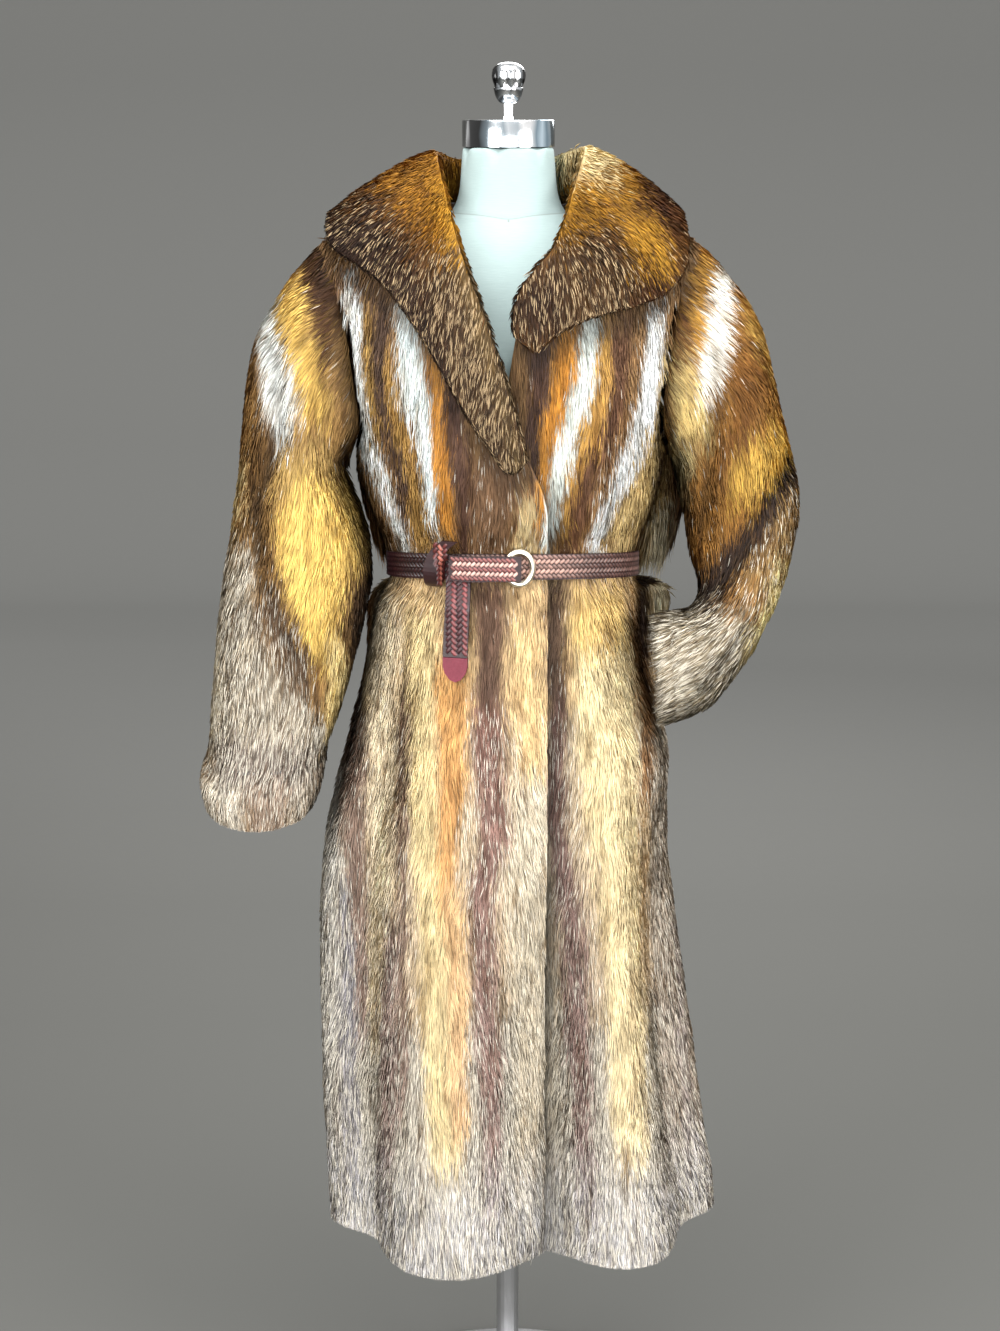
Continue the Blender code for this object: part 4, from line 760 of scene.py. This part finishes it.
class Pile:
    """The hairs of one hide: kites of two triangles laid along the skin, their tips drawn into locks."""

    def __init__(self, hide, count, seed, length, past):
        rng = np.random.default_rng(seed)
        tree = COLLAR_TREE if "collar" in hide.name else BODY_TREE
        corners = [hide.sunk[hide.triangles[:, k]] for k in range(3)]
        areas = np.linalg.norm(np.cross(corners[1] - corners[0], corners[2] - corners[0]), axis=1)
        bare = hide.open[hide.triangles].max(axis=1) < 0.10
        total = np.cumsum(np.where(bare, areas * 0.02, areas))
        at = (np.arange(count) + rng.random(count)) / count * total[-1]
        face = np.minimum(np.searchsorted(total, at), len(areas) - 1)
        u, v = rng.random((2, count, 1))
        u, v = np.where(u + v > 1, 1 - u, u), np.where(u + v > 1, 1 - v, v)

        def spread(values):
            ends = [values[hide.triangles[face, k]] for k in range(3)]
            return ends[0] + u * (ends[1] - ends[0]) + v * (ends[2] - ends[0])

        roots, normals, self.open = spread(hide.sunk), unit(spread(hide.normals)), spread(hide.open[:, None])
        firsts = rng.permutation(count)[: count // LOCK]
        locks = KDTree(len(firsts))
        for k, spot in enumerate(roots[firsts].tolist()):
            locks.insert(spot, k)
        locks.balance()
        mine = firsts[np.array([locks.find(spot)[1] for spot in roots.tolist()])]
        reach = length * (0.75 + 0.45 * rng.random((count, 1)))
        hanging = np.exp(-(((roots[:, 2:] - OVERHANG) / OVERHANG_SPREAD) ** 2))
        hanging = hanging * step(np.abs(roots[:, :1]), 0.116, 0.142)
        hanging = hanging * (hide.name in ("back", "left_front", "right_front"))
        reach *= 1 + OVERHANG_LONG * hanging
        past = past + 0.03 * hanging[:, 0]
        way = comb(hide.name, roots, normals)
        side = np.cross(way, normals)
        swirl = 0.26 * cloudy(roots, (16, 16, 10), seed + 7) + 0.24 * cloudy(roots, (55, 55, 30), seed + 11)
        way = unit(way + side * (swirl + 0.09 * rng.standard_normal(count))[:, None])
        reach -= np.maximum(overshoot(tree, roots + way * reach) - past, 0)[:, None] * 0.9
        reach = np.maximum(reach, SHORTEST)
        height = HAIR_LIFT * (0.5 + 0.7 * rng.random((count, 1)))
        height = height * (1 + 0.4 * cloudy(roots, (40, 40, 20), seed + 3))[:, None]
        height = np.minimum(height, reach * 0.45)
        ends, end_normals = laid(tree, roots + way * reach, normals)
        ends = ends + end_normals * height
        near = np.linalg.norm(ends[mine] - ends, axis=1)[:, None] < LOCK_REACH
        ends = ends + np.where(near, (ends[mine] - ends) * LOCK_PULL * rng.random((count, 1)), 0)
        middles = roots * 0.55 + ends * 0.45 + normals * height * 0.28
        ahead = unit(ends - roots)
        across = unit(np.cross(ahead, normals) + normals * 0.25 * rng.standard_normal((count, 1)))
        half = across * (HAIR_WIDTH * (0.7 + 0.6 * rng.random((count, 1))) * 0.5)
        self.places = np.stack([roots, middles + half, ends, middles - half], axis=1)
        flat = unit(np.cross(across, ahead))
        flat *= np.sign(dots(flat, normals))
        self.shading = np.stack(
            [unit(normal * 0.74 + flat * 0.26) for normal in (normals, normals, end_normals, normals)], axis=1
        )
        self.colours = self.colours_with_painted_shading(hide.name, roots, rng, mine)

    def colours_with_painted_shading(self, name, roots, rng, mine):
        """Each hair's colours from root to tip: its pelt's colour, darkened by painted shade where folds and
        nearby parts leave it less open to the light, with some tips dark and some pale.
        """
        count = len(roots)
        colour, grizzle = chart(name, roots, rng)
        shift = (0.80 + 0.34 * rng.random(count)[mine]) * (0.86 + 0.26 * rng.random(count))
        # painted shade: the hair and its pale tips darkened where the coat is less open to the light
        base = colour * shift[:, None] * (0.36 + 0.68 * self.open)
        chance = rng.random(count)
        flecked = step(grizzle, 0.12, 0.75) * 0.46
        if "collar" in name:
            base *= 1 - 0.24 * step(grizzle, 0.2, 0.6)[:, None]
        dark = (chance < flecked * 0.75 + 0.05)[:, None]
        pale = (chance > 1 - flecked * (0.7 if "collar" in name else 1.0))[:, None]
        light = np.array(tone(210, 182, 140) if "collar" in name else tone(246, 238, 220))
        light = light * (0.3 + 0.7 * self.open)
        tip = np.where(dark, base * 0.28, np.where(pale, light, base * 1.08))
        middle = np.where(dark, base * 0.62, np.where(pale, base * 0.4 + light * 0.6, base))
        return np.clip(np.stack([base * 0.90, middle, tip, middle], axis=1), 0, 1)


def laid(tree, points, normals):
    """The nearest places on the skin, and its normals there; past an edge a point stays where it is."""
    places, ways = points.copy(), normals.copy()
    for k, spot in enumerate(points.tolist()):
        place, normal, _, gap = tree.find_nearest(spot)
        if gap < 0.009:
            places[k] = place
            if normal.dot(normals[k].tolist()) > 0.2:
                ways[k] = normal
    return places, unit(ways * 0.5 + normals * 0.5)


def tree_of(hides, raised=False):
    places, faces, start = [], [], 0
    for hide in hides:
        spots = hide.places if raised else hide.sunk
        places += spots.tolist()
        faces += (hide.triangles + start).tolist()
        start += len(spots)
    return BVHTree.FromPolygons(places, faces)


def pile_piece(name, pile, finish):
    count = len(pile.places)
    first = np.arange(count)[:, None] * 4
    triangles = (first[:, :, None] + np.array([[0, 1, 2], [0, 2, 3]])[None]).reshape(-1, 3)
    mesh = bpy.data.meshes.new(name)
    mesh.vertices.add(count * 4)
    mesh.vertices.foreach_set("co", pile.places.reshape(-1).astype(np.float32))
    mesh.loops.add(len(triangles) * 3)
    mesh.loops.foreach_set("vertex_index", triangles.reshape(-1).astype(np.int32))
    mesh.polygons.add(len(triangles))
    mesh.polygons.foreach_set("loop_start", (np.arange(len(triangles)) * 3).astype(np.int32))
    mesh.update(calc_edges=True)
    mesh.polygons.foreach_set("use_smooth", np.ones(len(triangles), bool))
    paint(mesh, "pelt", pile.colours.reshape(-1, 3))
    across = math.ceil(math.sqrt(count))
    cell = np.stack([np.arange(count) % across, np.arange(count) // across], axis=1)[:, None] / across
    spots = cell + np.array([(0.5, 0.05), (0.95, 0.45), (0.5, 0.95), (0.05, 0.45)])[None] / across
    cells = mesh.uv_layers.new(name="OFBake")
    cells.data.foreach_set("uv", spots.reshape(-1, 2)[triangles.reshape(-1)].reshape(-1).astype(np.float32))
    mesh.normals_split_custom_set_from_vertices(pile.shading.reshape(-1, 3).tolist())
    return show(name, mesh, [finish], smooth=False)


def pelt_finish(name, rough):
    """Hair or hide coloured by its pelt and by the painted shade in its colours, broken up by fine streaks
    down the coat.
    """
    finish = Finish(name, Roughness=rough, Specular_IOR_Level=0.22)
    pelt = finish.node("ShaderNodeVertexColor", {"layer_name": "pelt"})
    streak = finish.speckle(finish.scaled(finish.place(), (900.0, 900.0, 120.0)), 1.0, 1.0)
    shade = finish.ramp(streak, (0.3, (0.72, 0.72, 0.72)), (0.7, (1.0, 1.0, 1.0)))
    finish.feed(Base_Color=finish.blend(0.5, pelt, shade, "MULTIPLY"))
    return finish


# ---------------------------------------------------------------- the braided belt


def node_tree(name):
    mesh = welded(name)
    tree = BVHTree.FromBMesh(mesh)
    mesh.free()
    return tree


class Strap:
    """The outer face of a packed strap as a line of places with the ways across it and out of it."""

    def __init__(self, places, normals, closed=False):
        places, normals = np.array(places), np.array(normals)
        if closed:
            places, normals = np.concatenate([places, places[:1]]), np.concatenate([normals, normals[:1]])
        for _ in range(3):
            normals[1:-1] = (normals[:-2] + normals[1:-1] * 2 + normals[2:]) / 4
        self.places = places
        self.normals = unit(normals)
        ahead = unit(np.gradient(places, axis=0))
        self.across = unit(np.cross(self.normals, ahead))
        self.along = np.concatenate([[0], np.cumsum(np.linalg.norm(np.diff(places, axis=0), axis=1))])
        self.length = self.along[-1]

    def at(self, u, v, h):
        mixed = [
            np.stack([np.interp(u, self.along, rows[:, k]) for k in range(3)], axis=1)
            for rows in (self.places, self.across, self.normals)
        ]
        return mixed[0] + unit(mixed[1]) * v[:, None] + unit(mixed[2]) * h[:, None]


def struck(tree, start, way):
    place, normal, _, _ = tree.ray_cast(Vector(start), Vector(way).normalized())
    return (tuple(place), tuple(normal)) if place is not None else None


def waist_strap():
    tree = node_tree("belt_band")
    found = []
    for k in range(240):
        turn = 2 * math.pi * k / 240
        out = np.array((math.sin(turn), -math.cos(turn), 0.0)) * 0.4
        y = out[1] * 0.35
        hit = None
        for _ in range(4):
            height = BELT_HEIGHT - WAIST_TILT * y
            hit = struck(tree, (out[0], out[1], height), (-out[0], -out[1], 0.0)) or hit
            if hit is not None:
                y = hit[0][1]
        if hit is not None:
            found.append(hit)
    return Strap([place for place, _ in found], [normal for _, normal in found], closed=True)


def front_strap(name, low_end, high_end, hangs=True):
    """A strap's front face, short of its ends: down its middle if it hangs, or else across the front."""
    tree = node_tree(name)
    low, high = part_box(name)
    middle = (low + high) / 2
    if hangs:
        starts = [(middle.x, -0.5, z) for z in np.linspace(high.z - high_end, low.z + low_end, 24)]
    else:
        starts = [(x, -0.5, middle.z) for x in np.linspace(low.x + low_end, high.x - high_end, 24)]
    found = [struck(tree, start, (0, 1, 0)) for start in starts]
    found = [hit for hit in found if hit is not None]
    return Strap([place for place, _ in found], [normal for _, normal in found])


def braided(name, strap, width, columns, shades, seed):
    """Plaited thongs: columns of slanted pads, each domed, their slants alternating like a herringbone; each
    pad is darkened towards its edges by painted shade in the grooves and lightened on its crown by a painted
    highlight.
    """
    rng = np.random.default_rng(seed)
    pitch = width / columns
    rows = max(int(strap.length / pitch), 1)
    steps = np.array([(a, b) for b in (-1.0, -0.45, 0.45, 1.0) for a in (-1.0, -0.5, 0.5, 1.0)])
    dome = (1 - 0.7 * np.abs(steps[:, 0]) ** 3) * (1 - np.abs(steps[:, 1]) ** 2.5)
    quads = [(4 * j + i, 4 * j + i + 1, 4 * j + i + 5, 4 * j + i + 4) for j in range(3) for i in range(3)]
    places, faces, colours = [], [], []
    for column in range(columns):
        slant = math.radians(40) * (1 if column % 2 else -1)
        middle = (column - (columns - 1) / 2) * pitch
        for row in range(rows):
            u = (row + 0.5 + 0.5 * (column % 2)) / (rows + 0.5) * strap.length
            a, b = steps[:, 0] * pitch * 0.64, steps[:, 1] * pitch * 0.37
            across = middle + a * math.sin(slant) + b * math.cos(slant)
            ahead = u + a * math.cos(slant) - b * math.sin(slant)
            spots = strap.at(ahead, np.clip(across, -width / 2, width / 2), 0.0001 + 0.0016 * dome)
            start = len(places)
            places += spots.tolist()
            faces += [tuple(start + k for k in quad) for quad in quads]
            shade = np.array(shades(spots.mean(axis=0), column)) * (0.75 + 0.5 * rng.random())
            # painted shade in the grooves and a painted highlight on each pad's crown
            colours += [shade * (0.22 + 0.93 * d) for d in dome]
    mesh = new_mesh(name, places, faces)
    paint(mesh, "thong", np.array(colours))
    piece = show(name, mesh, [THONG])
    return piece


def waist_shade(place, column):
    """Near-black maroon at the wearer's right, a painted highlight of pinkish beige on the front near the
    ring, fading to brown at the left.
    """
    x = place[0] * 100
    # painted highlight: the share of pinkish beige on the strap's front, as if light glints there
    paler = 0.0 if place[1] > -0.02 else float(step(x, -8.0, 0.0) * (1 - 0.75 * step(x, 3.0, 11.0)))
    dark, light = np.array(tone(40, 12, 15)), np.array(tone(200, 156, 140))
    return dark + (light - dark) * paler * (0.9 if column % 2 else 0.45)


def two_shades(odd, even):
    """Thongs of one colour in the odd columns of a braid and another in the even ones."""
    return lambda place, column: odd if column % 2 else even


def thong_finish():
    finish = Finish("braided_thongs", Roughness=0.36, Specular_IOR_Level=0.5)
    # the thongs' colours carry painted shade in the grooves and painted highlights on the pads and the
    # strap's front
    colours_with_painted_shading = finish.node("ShaderNodeVertexColor", {"layer_name": "thong"})
    grain = finish.speckle(finish.place(), 900.0, 3.0)
    shade = finish.ramp(grain, (0.35, (0.5, 0.5, 0.5)), (0.65, (1, 1, 1)))
    finish.feed(
        Base_Color=finish.blend(0.35, colours_with_painted_shading, shade, "MULTIPLY"),
        Roughness=0.30 + grain * 0.22,
        Normal=finish.bump(grain, 0.25, 0.0004),
    )
    return finish


def leather_finish(name, colour, paler):
    finish = Finish(name, tone(*colour), Specular_IOR_Level=0.5)
    grain = finish.speckle(finish.place(), 700.0, 4.0)
    cloud = finish.speckle(finish.place(), 60.0, 2.0)
    share = (grain * 0.5 + cloud * 0.5).clipped()
    finish.feed(
        Base_Color=finish.ramp(share, (0.3, tone(*colour)), (0.75, tone(*paler))),
        Roughness=0.32 + grain * 0.25,
        Normal=finish.bump(grain, 0.3, 0.0005),
    )
    return finish


def metal_finish(name, colour, rough, brushed):
    """Polished metal, with faint turning marks round its upright axis."""
    finish = Finish(name, colour, Metallic=1.0)
    marks = finish.speckle(finish.scaled(finish.place(), (60.0, 60.0, 2600.0)), 1.0, 2.0)
    smear = finish.speckle(finish.place(), 28.0, 3.0)
    finish.feed(Roughness=rough + smear * 0.06, Normal=finish.bump(marks, brushed, 0.0003))
    cloud = tuple(0.9 * v for v in colour)
    finish.feed(Base_Color=finish.ramp(smear, (0.3, cloud), (0.7, colour)))
    return finish


def chrome_finish(name, middle, width, *bands):
    """Chrome with painted reflections: the bands that a room draws down it, given as (share across, grey,
    blueness) from right to left.
    """
    finish = Finish(name, Metallic=1.0)
    x = finish.axes()[0]
    waver = finish.speckle(finish.scaled(finish.place(), (60.0, 60.0, 25.0)), 1.0, 1.0)
    share = ((x - (middle - width / 2)) / width + (waver - 0.5) * 0.10).clipped()
    stops = [(at, (grey * (1 - blue), grey * (1 - blue * 0.4), grey)) for at, grey, blue in bands]
    marks = finish.speckle(finish.scaled(finish.place(), (60.0, 60.0, 2600.0)), 1.0, 2.0)
    finish.feed(
        Base_Color=finish.ramp(share, *stops),
        Roughness=0.10 + marks * 0.08,
        Normal=finish.bump(marks, 0.05, 0.0002),
    )
    return finish


def linen_finish():
    """Off-white linen over the form: threads both ways, a few slubs, and the seam round the neck."""
    finish = Finish("form_linen", Specular_IOR_Level=0.15)
    x, _, z = finish.axes()
    threads = (x * 5200.0).wave() * 0.5 + (z * 5200.0).wave() * 0.5
    slub = finish.speckle(finish.scaled(finish.place(), (90.0, 90.0, 900.0)), 1.0, 2.0)
    soil = finish.speckle(finish.place(), 14.0, 3.0)
    dip = NECK_SEAM - 0.0065 / (1.0 + (x * 40.0) * (x * 40.0))
    gap = (z - dip).size()
    stitched = (1.0 - gap / 0.0010).clipped()
    pucker = (1.0 - gap / 0.0040).clipped()
    pin = (1.0 - ((x * x + (z - NECK_SEAM + 0.0085) * (z - NECK_SEAM + 0.0085)) ** 0.5) / 0.0018).clipped()
    patchy = (soil * 0.6 + slub * 0.4).clipped()
    cloth = finish.ramp(patchy, (0.3, tone(142, 158, 156)), (0.7, tone(150, 166, 164)))
    finish.feed(
        Base_Color=finish.blend((stitched * 0.5 + pin).clipped(), cloth, tone(104, 104, 98)),
        Roughness=0.86 + soil * 0.08,
        Normal=finish.bump(threads * 0.2 + slub * 0.5 - pucker * 1.6, 0.35, 0.0008),
    )
    return finish


def smooth_form(finish):
    """The dress form again, with its facets smoothed."""
    places, _, _, faces = smoothed("form_base", whole("dress_form"), 2)
    piece = show("linen_form", new_mesh("linen_form", places, faces), [finish])
    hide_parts("dress_form")


def dress(name, finish):
    """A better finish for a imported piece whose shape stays."""
    slots = NODES[name].data.materials
    slots.clear()
    slots.append(finish.material)
    NODES[name].data.shade_smooth()


def turned(name, profile, sides, flute=0.0, flutes=1, from_z=0.0, to_z=0.0):
    """A turned piece from its (radius, height) profile, fluted between two heights."""
    places, faces = [], []
    for radius, height in profile:
        deep = flute if from_z < height < to_z else 0.0
        for k in range(sides):
            turn = 2 * math.pi * (k + 0.5) / sides
            r = radius * (1 - deep * (0.5 - 0.5 * math.cos(turn * flutes)) ** 2)
            places.append((r * math.cos(turn), r * math.sin(turn), height))
    for j in range(len(profile) - 1):
        for k in range(sides):
            n = (k + 1) % sides
            faces.append((j * sides + k, (j + 1) * sides + k, (j + 1) * sides + n, j * sides + n))
    faces.append(tuple(range(sides)))
    faces.append(tuple(range((len(profile) - 1) * sides, len(profile) * sides))[::-1])
    return new_mesh(name, places, [face[::-1] for face in faces])


def put_turned(name, replaced, mesh, finish, smooth=True):
    piece = show(name, mesh, [finish], smooth)
    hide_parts(replaced)
    if smooth:
        crisp = piece.modifiers.new("crisp", "EDGE_SPLIT")
        crisp.split_angle = math.radians(50)


def neck_fittings():
    """The chrome cap on the neck, its square post, and the fluted egg in its cup, each with painted
    reflections.
    """
    low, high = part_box("neck_cap")
    radius, middle = (high.x - low.x) / 2, (high.x + low.x) / 2
    bands = chrome_finish(
        "cap_chrome", middle, radius * 2,
        (0.0, 0.20, 0.0), (0.05, 0.55, 0.0), (0.09, 0.06, 0.0), (0.20, 0.05, 0.0), (0.28, 0.30, 0.25),
        (0.36, 0.95, 0.10), (0.44, 0.60, 0.20), (0.50, 0.95, 0.08), (0.60, 0.70, 0.15), (0.66, 0.98, 0.0),
        (0.74, 0.98, 0.0), (0.80, 0.45, 0.35), (0.86, 0.90, 0.25), (0.91, 0.35, 0.40), (0.96, 0.45, 0.2),
        (1.0, 0.15, 0.0),
    )
    rim = 0.0012
    line = [(radius, low.z), (radius, high.z - rim), (radius - rim, high.z), (radius * 0.2, high.z)]
    put_turned("chrome_cap", "neck_cap", turned("chrome_cap", line, 96), bands)
    low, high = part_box("cap_stem")
    wide = (high.x - low.x) / 2
    satin = chrome_finish(
        "satin_post", 0.0, wide * 2, (0.0, 0.35, 0.0), (0.25, 0.95, 0.0), (0.75, 0.98, 0.0), (1.0, 0.55, 0.1)
    )
    line = [
        (wide * 0.95, low.z), (wide * 0.95, low.z + 0.0025),
        (wide * 0.78, low.z + 0.004), (wide * 0.80, high.z),
    ]
    put_turned("square_post", "cap_stem", turned("square_post", line, 4), satin, smooth=False)
    low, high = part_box("cap_knob")
    z0, tall = low.z, high.z - low.z
    dark = chrome_finish(
        "knob_chrome", 0.0, 0.038, (0.0, 0.03, 0.0), (0.14, 0.05, 0.0), (0.24, 0.55, 0.1), (0.40, 0.90, 0.0),
        (0.55, 0.45, 0.1), (0.68, 0.95, 0.0), (0.84, 0.60, 0.1), (0.93, 0.08, 0.0), (1.0, 0.05, 0.0),
    )
    line = [
        (0.0004, 0.0), (0.0086, 0.006), (0.0112, 0.045), (0.0136, 0.120), (0.0154, 0.210), (0.0164, 0.300),
        (0.0170, 0.352), (0.0170, 0.380), (0.0161, 0.392), (0.0163, 0.420), (0.0170, 0.460), (0.0182, 0.520),
        (0.0192, 0.590), (0.0197, 0.670), (0.0194, 0.750), (0.0183, 0.820), (0.0165, 0.880), (0.0138, 0.930),
        (0.0100, 0.968), (0.0055, 0.991), (0.0004, 1.0),
    ]
    line = [(radius, z0 + tall * share) for radius, share in line]
    mesh = turned("fluted_knob", line, 112, 0.13, 9, z0 + tall * 0.44, z0 + tall * 0.80)
    put_turned("fluted_knob", "cap_knob", mesh, dark)


# ---------------------------------------------------------------- the whole coat and its stand

# How many hairs grow on each panel.
HAIRS = {
    "back": 92000, "left_front": 80000, "right_front": 84000, "left_sleeve": 40000, "right_sleeve": 44000,
    "left_cuff": 6500, "right_cuff": 8500, "left_collar": 30000, "right_collar": 36000,
}
HAIR_LENGTH = 0.022
SHORTER_HAIR = {"left_collar": 0.014, "right_collar": 0.014, "right_cuff": 0.018}

camera()
studio()
HIDE_FACE = pelt_finish("hide_pelt_and_painted_shade", 0.85)
LINING = Finish("lining", tone(96, 62, 40), Roughness=0.45)
TAPE = Finish("hem_tape", tone(40, 30, 26), Roughness=0.8)
PILE = pelt_finish("fox_pile", 0.62)
THONG = thong_finish()
STRAP = leather_finish("strap_leather", (30, 9, 12), (46, 18, 20))
PLUM = leather_finish("plum_leather", (92, 28, 42), (124, 48, 62))
BRASS = metal_finish("pale_brass", (0.93, 0.86, 0.68), 0.26, 0.05)
STEEL = metal_finish("stand_metal", (0.55, 0.55, 0.56), 0.28, 0.15)
LINEN = linen_finish()

HIDES = {name: Hide(name) for name in PANELS}
BODY_TREE = tree_of([HIDES[name] for name in PANELS if "collar" not in name])
COLLAR_TREE = tree_of([HIDES["left_collar"], HIDES["right_collar"]])
AROUND = tree_of(HIDES.values(), raised=True)
for number, name in enumerate(PANELS):
    hide = HIDES[name]
    hide.shade(AROUND)
    laid_hide = hide.lay([HIDE_FACE, LINING, TAPE])
    past = 0.022 if name == "left_cuff" else 0.006
    hairs = Pile(hide, HAIRS[name], 10 + number, SHORTER_HAIR.get(name, HAIR_LENGTH), past)
    pile = pile_piece(name + "_pile", hairs, PILE)

for name in ("belt_band", "belt_fold", "belt_loop", "belt_tail"):
    dress(name, STRAP)
dress("belt_tip", PLUM)
dress("belt_ring", BRASS)
smooth_form(LINEN)
dress("stand_pole", STEEL)
dress("stand_foot", STEEL)
neck_fittings()
braided("waist_braid", waist_strap(), 0.028, 5, waist_shade, 1)
tail, fold = front_strap("belt_tail", 0.002, 0.004), front_strap("belt_fold", 0.002, 0.004, hangs=False)
loop = front_strap("belt_loop", 0.002, 0.002)
braided("tail_braid", tail, 0.026, 4, two_shades(tone(116, 56, 56), tone(60, 18, 22)), 2)
# the fold's pale pinkish beige is a painted highlight on its lit front, over the belt's dark maroon
braided("fold_braid", fold, 0.027, 5, two_shades(tone(204, 162, 150), tone(128, 74, 70)), 3)
braided("loop_braid", loop, 0.019, 3, two_shades(tone(150, 84, 70), tone(84, 34, 32)), 4)
